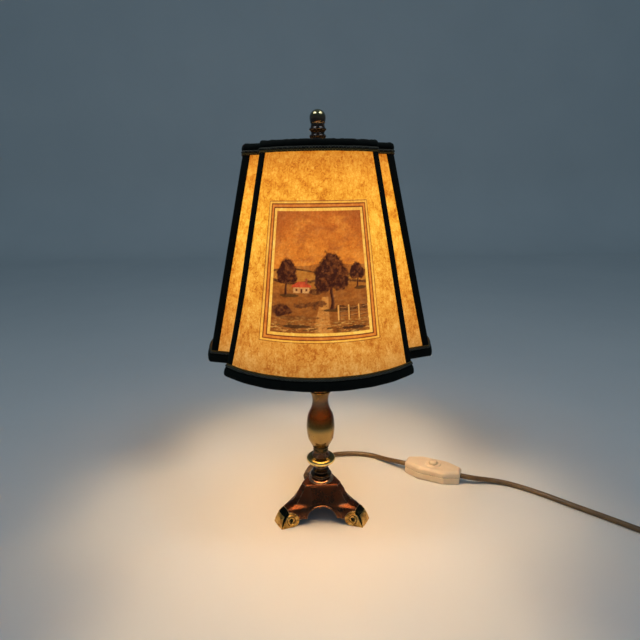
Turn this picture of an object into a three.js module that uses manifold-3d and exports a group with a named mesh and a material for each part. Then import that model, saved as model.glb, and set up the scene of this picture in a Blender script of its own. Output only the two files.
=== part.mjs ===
// Small table lamp: cast tripod base, turned brass column, lit bulb in a harp, notched round parchment
// shade with velvet trims, and a cord with an inline switch. Millimetres, +Z up, standing on z = 0.
import * as THREE from 'three';
import { mergeVertices } from 'three/addons/utils/BufferGeometryUtils.js';
import Module from 'manifold-3d';

const wasm = await Module();
wasm.setup();

// Fits and cutters
const CLEARANCE = 0.3;
const SEAT_GAP = 0.1;
const OVERRUN = 3;
const MERGE_DISTANCE = 0.0001;
const COORDINATE_COUNT = 3;
const HALF_SHARE = 0.5;

// Overall height. The heights of the column's pieces and of the shade's rims are shares of it.
const LAMP_HEIGHT = 410;
const SPOOL_HEIGHT_SHARE = 0.0427;
const KNOP_HEIGHT_SHARE = 0.0185;
const COLLAR_HEIGHT_SHARE = 0.0137;
const VASE_HEIGHT_SHARE = 0.168;
const DISH_HEIGHT_SHARE = 0.012;
const RISER_HEIGHT_SHARE = 0.1122;
const SHADE_TOP_SHARE = 0.92415;
const SHADE_BOTTOM_SHARE = 0.4578;

// Round counts
const TURNED_SEGMENTS = 24;
const SMALL_SEGMENTS = 14;
const WIRE_SIDES = 6;
const CORD_SIDES = 8;
const BORE_SIDES = 12;

// Base casting and its scroll feet
const SHOULDER_HEIGHT = 38.5;
const SHOULDER_REACH = 21.7;
const FOOT_REACH = 54;
const LEG_TOP_HALF_WIDTH = 3.5;
const LEG_FOOT_HALF_WIDTH = 8.85;
const FACE_TOP_DISTANCE = 14.6;
const FACE_FOOT_DISTANCE = 27;
const CORNER_FACET = 4.6;
const BASE_WALL = 3.2;
const ROOF_THICKNESS = 6;
const CAVITY_REACH = 31;
const PLATFORM_HEIGHT = 41;
const PLATFORM_RADIUS = 12.6;
const LEDGE_HEIGHT = 7.6;
const ARCH_HEIGHT = 19.6;
const ARCH_HALF_WIDTH = 16.2;
const SCROLL_RADIUS = 7.4;
const SCROLL_SETBACK = 11.5;
const FOOT_WEDGE_LENGTH = 10;

// Column pieces, stacked on the platform around the threaded rod
const ROD_RADIUS = 4;
const ROD_BORE_RADIUS = 2.6;
const ROD_BELOW_ROOF = 8.5;
const ROD_IN_CAP = 10;
const SPOOL_RADIUS = 10.9;
const SPOOL_HEIGHT = LAMP_HEIGHT * SPOOL_HEIGHT_SHARE;
const KNOP_RADIUS = 15.3;
const KNOP_HEIGHT = LAMP_HEIGHT * KNOP_HEIGHT_SHARE;
const COLLAR_RADIUS = 9.3;
const COLLAR_HEIGHT = LAMP_HEIGHT * COLLAR_HEIGHT_SHARE;
const VASE_RADIUS = 14.75;
const VASE_HEIGHT = LAMP_HEIGHT * VASE_HEIGHT_SHARE;
const DISH_RADIUS = 12.5;
const DISH_HEIGHT = LAMP_HEIGHT * DISH_HEIGHT_SHARE;
const NUT_RADIUS = 7.5;
const NUT_HEIGHT = 5;
const WASHER_RADIUS = 8;
const WASHER_HEIGHT = 1.5;

// Harp, its saddle and the stud that carries the shade
const SADDLE_THICKNESS = 1.6;
const SADDLE_WIDTH = 14;
const SADDLE_END = 1.8;
const SOCKET_RADIUS = 3.2;
const SOCKET_HEIGHT = 8;
const HARP_WIRE_RADIUS = 1.7;
const HARP_FOOT_SPREAD = 25;
const HARP_SPREAD = 48;
const HARP_STEPS = 44;
const STUD_RADIUS = 3;
const STUD_LENGTH = 16;
const STUD_FLANGE_RADIUS = 7;
const STUD_FLANGE_HEIGHT = 2.4;

// Riser tube, lamp holder and bulb
const RISER_RADIUS = 6.5;
const RISER_HEIGHT = LAMP_HEIGHT * RISER_HEIGHT_SHARE;
const HOLDER_RADIUS = 20;
const HOLDER_WALL = 1.2;
const HOLDER_CAP_HEIGHT = 15;
const HOLDER_CAP_NECK = 9;
const HOLDER_CAP_WALL = 2;
const HOLDER_SHELL_HEIGHT = 38;
const CORE_RADIUS = 17;
const CORE_FLOOR = 6;
const CORE_HEIGHT = 32;
const SCREW_SHELL_RADIUS = 14.2;
const SCREW_SHELL_WALL = 0.8;
const SCREW_SHELL_HEIGHT = 24;
const CONTACT_RADIUS = 3.2;
const CONTACT_HEIGHT = 1.4;
const BULB_CAP_RADIUS = 12.9;
const BULB_CAP_HEIGHT = 28;
const BULB_RADIUS = 30;
const BULB_GLASS_HEIGHT = 80;
const BULB_NECK_RADIUS = 12.4;
const GLASS_WALL = 1;

// Shade: a cone with four V-shaped notches
const SHADE_TOP = LAMP_HEIGHT * SHADE_TOP_SHARE;
const SHADE_BOTTOM = LAMP_HEIGHT * SHADE_BOTTOM_SHARE;
const SHADE_TOP_RADIUS = 65.1;
const SHADE_BOTTOM_RADIUS = 107.8;
const PANEL_THICKNESS = 0.8;
const PANEL_EDGE_GAP_DEGREES = 0.2;
const NOTCH_SHEET_EDGE_GAP = 1;
const FRONT_EDGE_DEGREES = 45.9;
const SIDE_EDGE_DEGREES = 72.3;
const NOTCH_DEPTH_SHARE = 0.21;
const FRONT_ARC_STEPS = 12;
const SIDE_ARC_STEPS = 5;
const FRAME_WIRE_RADIUS = 1.2;
const TRIM_THICKNESS = 2.4;
const TRIM_WEB = 1.1;
const TRIM_INNER_LEG = 5;
const TOP_TRIM_HEIGHT = 7.7;
const BOTTOM_TRIM_HEIGHT = 11;
const RIBBON_WIDTH = 5;
const RIBBON_THICKNESS = 1;
const HUB_RADIUS = 10;
const HUB_THICKNESS = 2;
const HUB_BELOW_RIM = 2.9;

// Finial
const FINIAL_RING_RADIUS = 8.9;
const FINIAL_BALL_RADIUS = 6.8;
const FINIAL_BORE_DEPTH = 14.5;

// Cord: the points of its free stretches stay as chosen
const CORD_DIAMETER = 6;
const CORD_STEP = 9;
const INNER_LEAD_RADIUS = 2.1;
const GLAND_RADIUS = 4.6;
const GLAND_TIP_RADIUS = 3.8;
const GLAND_FIRST_STEP_COUNT = 1;
const GLAND_STEP_COUNT = 4;
const CORD_START_ROUTE = [[-1.5, 2.2, 18.4], [-7.6, 16, 17.2], [-12.1, 27.8, 15.8], [-13.7, 32.1, 15.2],
  [-15.4, 38, 14.4], [-16.1, 46, 12.8], [-14.6, 56, 10.6], [-9.5, 72, 7.6], [4.9, 94.2, 4.6],
  [21, 104.6, 3.4], [33, 106.9, 3], [51.5, 106.2, 3], [69.4, 101, 3.1], [85.8, 88.9, 4.6]];
const CORD_END_ROUTE = [[185, 38.4, 6.9], [196, 38.6, 5], [208, 37, 3.7], [220, 33, 3.1], [238.7, 21.3, 3],
  [254.3, 8.9, 3], [275, -9.5, 3], [300, -31, 3], [323, -51.5, 3], [346, -71, 3.2]];

// Inline switch
const SWITCH_PLACE = [138, 56.5];
const SWITCH_TURN_DEGREES = -25.7;
const SWITCH_LENGTH = 66;
const SWITCH_WIDTH = 29;
const SWITCH_END_WIDTH = 13;
const SWITCH_FLAT_LENGTH = 30;
const SWITCH_HEIGHT = 16.5;
const SWITCH_PARTING = 8.8;
const SWITCH_WALL = 2;
const SWITCH_BEVEL = 2.4;
const SWITCH_ENTRY_LENGTH = 9;
const BOSS_RADIUS = 8.4;
const BOSS_HEIGHT = 1.2;
const BUTTON_RADIUS = 4.9;
const BUTTON_RISE = 3.2;
const BUTTON_TRAVEL = 2.5;
const BUTTON_FLANGE_RADIUS = 6.4;
const BUTTON_FLANGE_HEIGHT = 1.4;
const BUTTON_STEM_RADIUS = 1.6;
const SPRING_RADIUS = 3.2;
const SPRING_WIRE_RADIUS = 0.45;
const SPRING_TURNS = 5;
const SPRING_STEPS_PER_TURN = 10;
const CONTACT_BAR_LENGTH = 15;
const CONTACT_BAR_WIDTH = 8;
const CONTACT_BAR_HEIGHT = 2.5;
const TERMINAL_LENGTH = 12;
const TERMINAL_WIDTH = 6;
const TERMINAL_HEIGHT = 5;
const SCREW_PLACE = [11, 8.2];
const SCREW_RADIUS = 1.4;
const SCREW_HEAD_RADIUS = 2.6;
const SCREW_HEAD_HEIGHT = 1.6;
const SCREW_POST_WALL = 1.4;

// Coil of the length that is put away, its tie, and the plug
const COIL_PLACE = [398, -52];
const COIL_START_DEGREES = -120;
const COIL_OUTER_RADIUS = 43.2;
const COIL_PITCH = 6.55;
const COIL_LAYER_RISE = 6.6;
const COIL_TURNS_IN_COUNT = 3;
const COIL_REVERSAL_SHARE = 0.5;
const COIL_TURNS_OUT_COUNT = 2.75;
const COIL_STEPS_PER_TURN = 24;
const COIL_SIDES = 6;
const TAIL_LENGTH = 58;
const TAIL_DROP_FROM_SHARE = 0.2;
const TAIL_DROP_TO_SHARE = 0.6;
const TIE_WIDTH = 6;
const TIE_THICKNESS = 0.6;
const PLUG_SLEEVE_LENGTH = 20;
const PLUG_SLEEVE_RADIUS = 4;
const PLUG_LENGTH = 38;
const PLUG_WIDTH = 35;
const PLUG_THICKNESS = 14;
const PLUG_CORD_DEPTH = 3;
const PLUG_PIN_RADIUS = 2;
const PLUG_PIN_LENGTH = 19;
const PLUG_PIN_SPACING = 19;
const PLUG_PIN_ROOT = 6;

// Colours with their roughness and metalness
const PATINA = ['#4a2a1c', 0.35, 0.9];
const BRASS = ['#c9a45a', 0.22, 1];
const STEEL = ['#b9b9b4', 0.35, 1];
const PARCHMENT = ['#e0b873', 0.8, 0];
const VELVET = ['#26301f', 0.95, 0];
const IVORY = ['#efe6cf', 0.4, 0];
const CORD_COLOUR = ['#8d7446', 0.5, 0];
const CERAMIC = ['#f0eee6', 0.3, 0];
const GLASS = ['#fff6e0', 0.1, 0];
const RUBBER = ['#6b5733', 0.7, 0];

const half = (size) => size * HALF_SHARE;
const radians = (degrees) => THREE.MathUtils.degToRad(degrees);
const smooth = (share) => THREE.MathUtils.smoothstep(share, 0, 1);

// Vertices merged, flat slivers dropped and the faces turned outwards
function clean(geometry) {
  const bare = new THREE.BufferGeometry().setAttribute('position', geometry.getAttribute('position'));
  bare.setIndex(geometry.getIndex());
  const merged = mergeVertices(bare, MERGE_DISTANCE);
  const place = merged.getAttribute('position');
  const corners = merged.getIndex().array;
  const kept = [];
  const [a, b, c] = [new THREE.Vector3(), new THREE.Vector3(), new THREE.Vector3()];
  let volume = 0;
  for (let i = 0; i < corners.length; i += COORDINATE_COUNT) {
    const [p, q, r] = corners.slice(i, i + COORDINATE_COUNT);
    if (p === q || q === r || r === p) continue;
    kept.push(p, q, r);
    a.fromBufferAttribute(place, p);
    b.fromBufferAttribute(place, q);
    c.fromBufferAttribute(place, r);
    volume += a.dot(b.cross(c));
  }
  if (volume < 0) kept.reverse();
  merged.setIndex(kept);
  return merged;
}

function toSolid(geometry) {
  const merged = clean(geometry);
  return new wasm.Manifold(new wasm.Mesh({
    numProp: COORDINATE_COUNT,
    vertProperties: new Float32Array(merged.getAttribute('position').array),
    triVerts: new Uint32Array(merged.getIndex().array),
  }));
}

function toGeometry(solid) {
  const mesh = solid.getMesh();
  const geometry = new THREE.BufferGeometry();
  geometry.setAttribute('position', new THREE.BufferAttribute(new Float32Array(mesh.vertProperties), mesh.numProp));
  geometry.setIndex(Array.from(mesh.triVerts));
  return geometry;
}

const cut = (body, ...tools) => toGeometry(tools.reduce((left, tool) => left.subtract(toSolid(tool)), toSolid(body)));
const join = (body, ...more) => toGeometry(more.reduce((sum, piece) => sum.add(toSolid(piece)), toSolid(body)));
const overlap = (body, tool) => toGeometry(toSolid(body).intersect(toSolid(tool)));

// A turned piece about Z from [radius, height] points; a profile with a bore closes on its first point
function turn(profile, segments = TURNED_SEGMENTS) {
  const geometry = new THREE.LatheGeometry(profile.map(([r, z]) => new THREE.Vector2(r, z)), segments);
  geometry.rotateX(half(Math.PI));
  return clean(geometry);
}

// The same with a through bore
const turnBored = (profile, bore, segments = TURNED_SEGMENTS) => {
  const [low, high] = [profile[0][1], profile[profile.length - 1][1]];
  return turn([[bore, low], ...profile, [bore, high], [bore, low]], segments);
};

const pillar = (radius, low, high, segments = SMALL_SEGMENTS) =>
  turn([[0, low], [radius, low], [radius, high], [0, high]], segments);

// A ring's points in its own plane
function flatten(ring) {
  const normal = new THREE.Vector3();
  ring.forEach((p, i) => normal.add(new THREE.Vector3().crossVectors(p, ring[(i + 1) % ring.length])));
  const side = new THREE.Vector3().subVectors(ring[1], ring[0]).normalize();
  const up = new THREE.Vector3().crossVectors(normal.normalize(), side);
  return ring.map((p) => new THREE.Vector2(p.dot(side), p.dot(up)));
}

function capFaces(ring, first, reversed) {
  const flat = flatten(ring);
  return THREE.ShapeUtils.triangulateShape(flat, []).flatMap(([a, b, c]) => {
    const ccw = THREE.ShapeUtils.area([flat[a], flat[b], flat[c]]) > 0;
    return (ccw === reversed ? [a, c, b] : [a, b, c]).map((k) => first + k);
  });
}

// Skin over a row of rings with as many points each, capped at its ends unless it closes on itself
function loft(rings, looped = false) {
  const count = rings[0].length;
  const faces = [];
  const spans = looped ? rings.length : rings.length - 1;
  for (let i = 0; i < spans; i += 1) {
    const [low, high] = [i * count, ((i + 1) % rings.length) * count];
    for (let j = 0; j < count; j += 1) {
      const k = (j + 1) % count;
      faces.push(low + j, low + k, high + k, low + j, high + k, high + j);
    }
  }
  if (!looped) {
    const last = rings.length - 1;
    faces.push(...capFaces(rings[0], 0, true), ...capFaces(rings[last], last * count, false));
  }
  const geometry = new THREE.BufferGeometry();
  geometry.setAttribute('position', new THREE.BufferAttribute(
    new Float32Array(rings.flat().flatMap((p) => p.toArray())), COORDINATE_COUNT));
  geometry.setIndex(faces);
  return clean(geometry);
}

function circle(radius, sides) {
  return Array.from({ length: sides }, (_, k) => {
    const angle = (k * radians(360)) / sides;
    return new THREE.Vector2(radius * Math.cos(angle), radius * Math.sin(angle));
  });
}

// A round wire or cord along a curve
function tube(curve, radius, steps, sides) {
  return clean(new THREE.ExtrudeGeometry(new THREE.Shape(circle(radius, sides)),
    { steps, extrudePath: curve, bevelEnabled: false }));
}

const points3 = (list) => list.map((p) => new THREE.Vector3(...p));
const smoothCurve = (points) => new THREE.CatmullRomCurve3(points, false, 'centripetal');
const rod = (from, to, radius, sides) => tube(new THREE.LineCurve3(from, to), radius, 1, sides);

// A box by its limits on each axis
function block([x0, x1], [y0, y1], [z0, z1]) {
  const geometry = new THREE.BoxGeometry(x1 - x0, y1 - y0, z1 - z0);
  return geometry.translate(half(x0 + x1), half(y0 + y1), half(z0 + z1));
}

const lamp = new THREE.Group();
lamp.name = 'table_lamp';

function add(name, geometry, [color, roughness, metalness]) {
  const shown = clean(geometry);
  shown.computeVertexNormals();
  const mesh = new THREE.Mesh(shown, new THREE.MeshStandardMaterial({ color, roughness, metalness }));
  mesh.name = name;
  lamp.add(mesh);
}

// Base casting. Each row holds the share of the shoulder height, then the shares of the way from shoulder
// to foot for reach, leg width and face distance, then the facet's share of its full size.
const LEG_ROW_SHARES = [
  [0, 1, 1, 1, 0.04], [0.19, 0.938, 0.916, 1, 0.4], [0.36, 0.799, 0.785, 0.914, 0.78],
  [0.45, 0.659, 0.654, 0.828, 1], [0.515, 0.412, 0.523, 0.741, 0.9], [0.59, 0.3, 0.41, 0.58, 0.7],
  [0.68, 0.226, 0.318, 0.44, 0.55], [0.86, 0.102, 0.13, 0.138, 0.2], [0.935, 0.03, 0.03, 0.03, 0.1],
  [1, 0, 0, 0, 0.06]];
const LEG_COUNT = 3;
const LEG_FIRST_DEGREES = 90;
const FACE_STEPS = 8;
const FACET_ALONG_SHARE = 0.87;
const FACET_ACROSS_SHARE = 0.5;
const CAVITY_FACET_SHARE = 0.04;
const LEAST_CAVITY_SHARE = 0.3;
const legDegrees = (leg) => LEG_FIRST_DEGREES + (leg * 360) / LEG_COUNT;
const mix = (from, to, share) => from + (to - from) * share;

// Outline of the base at one height: three leg ends with corner facets, joined by hollow faces
function baseRing(height, reach, width, face, facet) {
  const ring = [];
  const spread = radians(360) / LEG_COUNT;
  for (let leg = 0; leg < LEG_COUNT; leg += 1) {
    const angle = radians(legDegrees(leg));
    const at = (u, v, turnBy) => new THREE.Vector3(
      u * Math.cos(turnBy) - v * Math.sin(turnBy), u * Math.sin(turnBy) + v * Math.cos(turnBy), height);
    const tip = width - FACET_ACROSS_SHARE * facet;
    const flank = reach - FACET_ALONG_SHARE * facet;
    ring.push(at(reach, -tip, angle), at(reach, tip, angle));
    const middle = angle + half(spread);
    const along = flank * Math.sin(half(spread)) - width * Math.cos(half(spread));
    const out = flank * Math.cos(half(spread)) + width * Math.sin(half(spread));
    for (let k = 0; k <= FACE_STEPS; k += 1) {
      const across = -1 + k / half(FACE_STEPS);
      ring.push(at(face + (out - face) * across * across, along * across, middle));
    }
  }
  return ring;
}

function legRow(share) {
  const rows = LEG_ROW_SHARES;
  const above = Math.max(1, rows.findIndex((row) => row[0] >= share));
  const [low, high] = [rows[above - 1], rows[above]];
  const part = (share - low[0]) / (high[0] - low[0]);
  const [, reach, width, face, facet] = low.map((value, k) => mix(value, high[k], part));
  return [mix(SHOULDER_REACH, FOOT_REACH, reach), mix(LEG_TOP_HALF_WIDTH, LEG_FOOT_HALF_WIDTH, width),
    mix(FACE_TOP_DISTANCE, FACE_FOOT_DISTANCE, face), CORNER_FACET * facet];
}

const baseOuter = loft(LEG_ROW_SHARES.map(([share]) => baseRing(share * SHOULDER_HEIGHT, ...legRow(share))));

const roofUnder = SHOULDER_HEIGHT - ROOF_THICKNESS;
const cavityRing = (height, share) => {
  const [reach, width, face] = legRow(share);
  return baseRing(height, Math.min(reach - BASE_WALL, CAVITY_REACH),
    Math.max(width - BASE_WALL, LEG_TOP_HALF_WIDTH * LEAST_CAVITY_SHARE), face - BASE_WALL,
    CORNER_FACET * CAVITY_FACET_SHARE);
};
const cavityRows = LEG_ROW_SHARES.map(([share]) => share).filter((share) => share * SHOULDER_HEIGHT < roofUnder);
const cavity = loft([cavityRing(-OVERRUN, 0), ...cavityRows.map((share) => cavityRing(share * SHOULDER_HEIGHT, share)),
  cavityRing(roofUnder, roofUnder / SHOULDER_HEIGHT)]);

// Side view of a scroll foot as a prism across its leg, grown by the given amount
const SCROLL_STEPS = 12;
function footPrism(leg, grown) {
  const centre = FOOT_REACH - SCROLL_SETBACK;
  const wedge = FOOT_REACH - FOOT_WEDGE_LENGTH - grown;
  const radius = SCROLL_RADIUS + grown;
  const last = Math.acos(Math.min(1, (wedge - centre) / radius));
  const shape = new THREE.Shape();
  shape.moveTo(centre, -OVERRUN);
  for (let k = 0; k <= SCROLL_STEPS; k += 1) {
    const angle = mix(radians(-90), last - radians(360), k / SCROLL_STEPS);
    shape.lineTo(centre + radius * Math.cos(angle), SCROLL_RADIUS + radius * Math.sin(angle));
  }
  shape.lineTo(wedge, SHOULDER_HEIGHT);
  shape.lineTo(FOOT_REACH + OVERRUN, SHOULDER_HEIGHT);
  shape.lineTo(FOOT_REACH + OVERRUN, -OVERRUN);
  const prism = new THREE.ExtrudeGeometry(shape, { depth: FOOT_REACH, bevelEnabled: false });
  prism.rotateX(half(Math.PI)).translate(0, half(FOOT_REACH), 0);
  return prism.rotateZ(radians(legDegrees(leg)));
}

// Arch in the face that follows a leg
const ARCH_STEPS = 12;
function archPrism(leg) {
  const shape = new THREE.Shape();
  shape.moveTo(ARCH_HALF_WIDTH, -OVERRUN);
  for (let k = 0; k <= ARCH_STEPS; k += 1) {
    const angle = (k * Math.PI) / ARCH_STEPS;
    shape.lineTo(ARCH_HALF_WIDTH * Math.cos(angle), mix(LEDGE_HEIGHT, ARCH_HEIGHT, Math.sin(angle)));
  }
  shape.lineTo(-ARCH_HALF_WIDTH, -OVERRUN);
  const prism = new THREE.ExtrudeGeometry(shape, { depth: FOOT_REACH, bevelEnabled: false });
  prism.rotateX(half(Math.PI)).rotateZ(Math.PI);
  return prism.rotateZ(radians(legDegrees(leg) + half(360 / LEG_COUNT) - LEG_FIRST_DEGREES));
}

const [glandInside, glandOutside] = points3(CORD_START_ROUTE.slice(2, 4));
const glandAxis = glandOutside.clone().sub(glandInside).normalize();
const glandReach = BASE_WALL + OVERRUN + OVERRUN;
const glandHole = rod(glandInside.clone().addScaledVector(glandAxis, -glandReach),
  glandOutside.clone().addScaledVector(glandAxis, glandReach), GLAND_RADIUS + CLEARANCE, BORE_SIDES);

const rodBore = ROD_RADIUS + CLEARANCE;
const legs = Array.from({ length: LEG_COUNT }, (_, leg) => leg);
const floorSlab = block([-FOOT_REACH, FOOT_REACH], [-FOOT_REACH, FOOT_REACH + OVERRUN], [-OVERRUN, LEDGE_HEIGHT]);
const platform = pillar(PLATFORM_RADIUS, roofUnder, PLATFORM_HEIGHT, TURNED_SEGMENTS);
add('base_casting', cut(join(baseOuter, platform), cavity, floorSlab,
  pillar(rodBore, 0, PLATFORM_HEIGHT + OVERRUN), glandHole,
  ...legs.map((leg) => footPrism(leg, CLEARANCE)), ...legs.map(archPrism)), PATINA);
['foot_back', 'foot_front_left', 'foot_front_right'].forEach((name, leg) =>
  add(name, overlap(baseOuter, footPrism(leg, 0)), BRASS));

// Stack of the column, each piece on the one below
const stackHeights = {};
let stackTop = PLATFORM_HEIGHT;
function seat(name, height) {
  const low = stackTop + SEAT_GAP;
  stackTop = low + height;
  stackHeights[name] = [low, stackTop];
  return low;
}

// A stacked piece from shares of its radius and height, bored for the rod
function stacked(name, outline, radius, height, material, bore = rodBore) {
  const low = seat(name, height);
  add(name, turnBored(outline.map(([r, z]) => [r * radius, low + z * height]), bore), material);
}

const SPOOL_SHARES = [[0.86, 0], [1, 0.12], [1, 0.25], [0.84, 0.37], [0.6, 0.41], [0.715, 0.46], [0.6, 0.52],
  [0.52, 0.6], [0.51, 0.72], [0.56, 0.86], [0.72, 0.96], [0.78, 1]];
const KNOP_SHARES = [[0.62, 0], [0.86, 0.1], [0.97, 0.28], [1, 0.5], [0.97, 0.7], [0.84, 0.9], [0.62, 1]];
const COLLAR_SHARES = [[1, 0], [0.97, 0.2], [0.84, 0.5], [0.77, 0.8], [0.76, 1]];
const VASE_SHARES = [[0.5, 0], [0.545, 0.02], [0.49, 0.04], [0.5, 0.06], [0.585, 0.077], [0.52, 0.092],
  [0.61, 0.1], [0.705, 0.134], [0.786, 0.169], [0.9, 0.221], [0.97, 0.306], [1, 0.4], [0.985, 0.46],
  [0.95, 0.54], [0.88, 0.608], [0.78, 0.66], [0.678, 0.71], [0.607, 0.76], [0.555, 0.825], [0.565, 0.88],
  [0.62, 0.935], [0.74, 1]];
const DISH_SHARES = [[0.66, 0], [0.8, 0.14], [0.93, 0.45], [1, 0.8], [0.97, 1]];
stacked('spool_neck', SPOOL_SHARES, SPOOL_RADIUS, SPOOL_HEIGHT, PATINA);
stacked('knop_ring', KNOP_SHARES, KNOP_RADIUS, KNOP_HEIGHT, BRASS);
stacked('collar', COLLAR_SHARES, COLLAR_RADIUS, COLLAR_HEIGHT, PATINA);
stacked('vase_column', VASE_SHARES, VASE_RADIUS, VASE_HEIGHT, BRASS);
stacked('top_dish', DISH_SHARES, DISH_RADIUS, DISH_HEIGHT, BRASS);

// Harp saddle with its two sockets
const saddleLow = seat('saddle', SADDLE_THICKNESS);
const saddleHalf = HARP_FOOT_SPREAD + SOCKET_RADIUS + SADDLE_END;
const socketBore = HARP_WIRE_RADIUS + CLEARANCE;
const sockets = [-HARP_FOOT_SPREAD, HARP_FOOT_SPREAD];
add('harp_saddle', cut(join(
  block([-saddleHalf, saddleHalf], [-half(SADDLE_WIDTH), half(SADDLE_WIDTH)], [saddleLow, stackTop]),
  ...sockets.map((x) => pillar(SOCKET_RADIUS, saddleLow, stackTop + SOCKET_HEIGHT).translate(x, 0, 0))),
pillar(rodBore, 0, stackTop + OVERRUN),
...sockets.map((x) => pillar(socketBore, stackTop, stackTop + SOCKET_HEIGHT + OVERRUN, WIRE_SIDES + WIRE_SIDES)
  .translate(x, 0, 0))), BRASS);

const harpFoot = stackTop + SEAT_GAP;
const riserLow = seat('riser', RISER_HEIGHT);
add('riser_tube', turnBored([[RISER_RADIUS, riserLow], [RISER_RADIUS, stackTop]], rodBore, SMALL_SEGMENTS), BRASS);

// Lamp holder: cap, shell, ceramic core, screw shell and centre contact
const CAP_SHARES = [[0.45, 0], [0.5, 0.1], [0.58, 0.42], [0.86, 0.72], [1, 0.9], [1, 1]];
const capLow = seat('cap', HOLDER_CAP_HEIGHT);
const capTop = stackTop;
const capLedge = CORE_RADIUS - BASE_WALL;
const capInside = [[capLedge, capTop], [capLedge, capTop - HOLDER_CAP_WALL],
  [HOLDER_CAP_NECK - HOLDER_CAP_WALL, capLow + half(HOLDER_CAP_HEIGHT)],
  [HOLDER_CAP_NECK - HOLDER_CAP_WALL, capLow + HOLDER_CAP_WALL], [rodBore, capLow + HOLDER_CAP_WALL],
  [rodBore, capLow]];
const capProfile = CAP_SHARES.map(([r, z]) => [r * HOLDER_RADIUS, capLow + z * HOLDER_CAP_HEIGHT]);
add('holder_cap', turn([[rodBore, capLow], ...capProfile, ...capInside]), BRASS);

const holderLow = capTop + SEAT_GAP;
add('holder_shell', turnBored([[HOLDER_RADIUS, holderLow], [HOLDER_RADIUS, holderLow + HOLDER_SHELL_HEIGHT]],
  HOLDER_RADIUS - HOLDER_WALL), BRASS);
const coreFloor = holderLow + CORE_FLOOR;
const coreInside = SCREW_SHELL_RADIUS + CLEARANCE;
add('holder_core', turn([[0, holderLow], [CORE_RADIUS, holderLow], [CORE_RADIUS, holderLow + CORE_HEIGHT],
  [coreInside, holderLow + CORE_HEIGHT], [coreInside, coreFloor], [0, coreFloor]]), CERAMIC);
const screwShellLow = coreFloor + SEAT_GAP;
add('holder_screw_shell', turnBored([[SCREW_SHELL_RADIUS, screwShellLow],
  [SCREW_SHELL_RADIUS, screwShellLow + SCREW_SHELL_HEIGHT]], SCREW_SHELL_RADIUS - SCREW_SHELL_WALL), BRASS);
const contactTop = coreFloor + SEAT_GAP + CONTACT_HEIGHT;
add('centre_contact', pillar(CONTACT_RADIUS, coreFloor + SEAT_GAP, contactTop), BRASS);

// Bulb: screw cap with its tip, and the hollow glass, open at its neck
const BULB_CAP_SHARES = [[0, 0], [0.35, 0], [0.35, 0.04], [0.6, 0.1], [0.93, 0.2], [1, 0.24], [1, 1], [0, 1]];
const bulbLow = contactTop + SEAT_GAP;
const bulbCapTop = bulbLow + BULB_CAP_HEIGHT;
add('bulb_cap', turn(BULB_CAP_SHARES.map(([r, z]) => [r * BULB_CAP_RADIUS, bulbLow + z * BULB_CAP_HEIGHT])), STEEL);
const glassLow = bulbCapTop + SEAT_GAP;
const glassTop = glassLow + BULB_GLASS_HEIGHT;
const BULB_STEPS = 14;
const BULB_NECK_SHARES = [[0, 0], [0.12, 0.3], [0.45, 0.72]];
function bulbOutline(inset) {
  const [neck, radius] = [BULB_NECK_RADIUS - inset, BULB_RADIUS - inset];
  const centre = glassTop - BULB_RADIUS;
  const start = radians(-48);
  const [joinRadius, joinHeight] = [radius * Math.cos(start), centre + radius * Math.sin(start)];
  const lower = BULB_NECK_SHARES.map(([r, z]) => [mix(neck, joinRadius, r), mix(glassLow, joinHeight, z)]);
  const upper = Array.from({ length: BULB_STEPS + 1 }, (_, k) => {
    const angle = mix(start, radians(90), k / BULB_STEPS);
    return [k === BULB_STEPS ? 0 : radius * Math.cos(angle), centre + radius * Math.sin(angle)];
  });
  return [...lower, ...upper];
}
const bulbInner = bulbOutline(GLASS_WALL);
add('bulb_glass', turn([...bulbOutline(0), ...bulbInner.reverse(), bulbOutline(0)[0]], SMALL_SEGMENTS + 6), GLASS);

// Threaded rod with its nut and washer, and the lead inside it
const rodLow = roofUnder - ROD_BELOW_ROOF;
const rodTop = capLow + ROD_IN_CAP;
add('stem_rod', turnBored([[ROD_RADIUS, rodLow], [ROD_RADIUS, rodTop]], ROD_BORE_RADIUS, SMALL_SEGMENTS), STEEL);
const washerTop = roofUnder - SEAT_GAP;
add('rod_washer', turnBored([[WASHER_RADIUS, washerTop - WASHER_HEIGHT], [WASHER_RADIUS, washerTop]], rodBore,
  SMALL_SEGMENTS), STEEL);
const nutTop = washerTop - WASHER_HEIGHT - SEAT_GAP;
const hexNut = pillar(NUT_RADIUS, nutTop - NUT_HEIGHT, nutTop, WIRE_SIDES);
add('rod_nut', cut(hexNut, pillar(rodBore, 0, PLATFORM_HEIGHT)), BRASS);
const [cordStart] = points3(CORD_START_ROUTE);
const leadLow = cordStart.z + half(CORD_DIAMETER) + CLEARANCE;
add('inner_lead', pillar(INNER_LEAD_RADIUS, leadLow, holderLow - SEAT_GAP - CLEARANCE, WIRE_SIDES), RUBBER);

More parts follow.
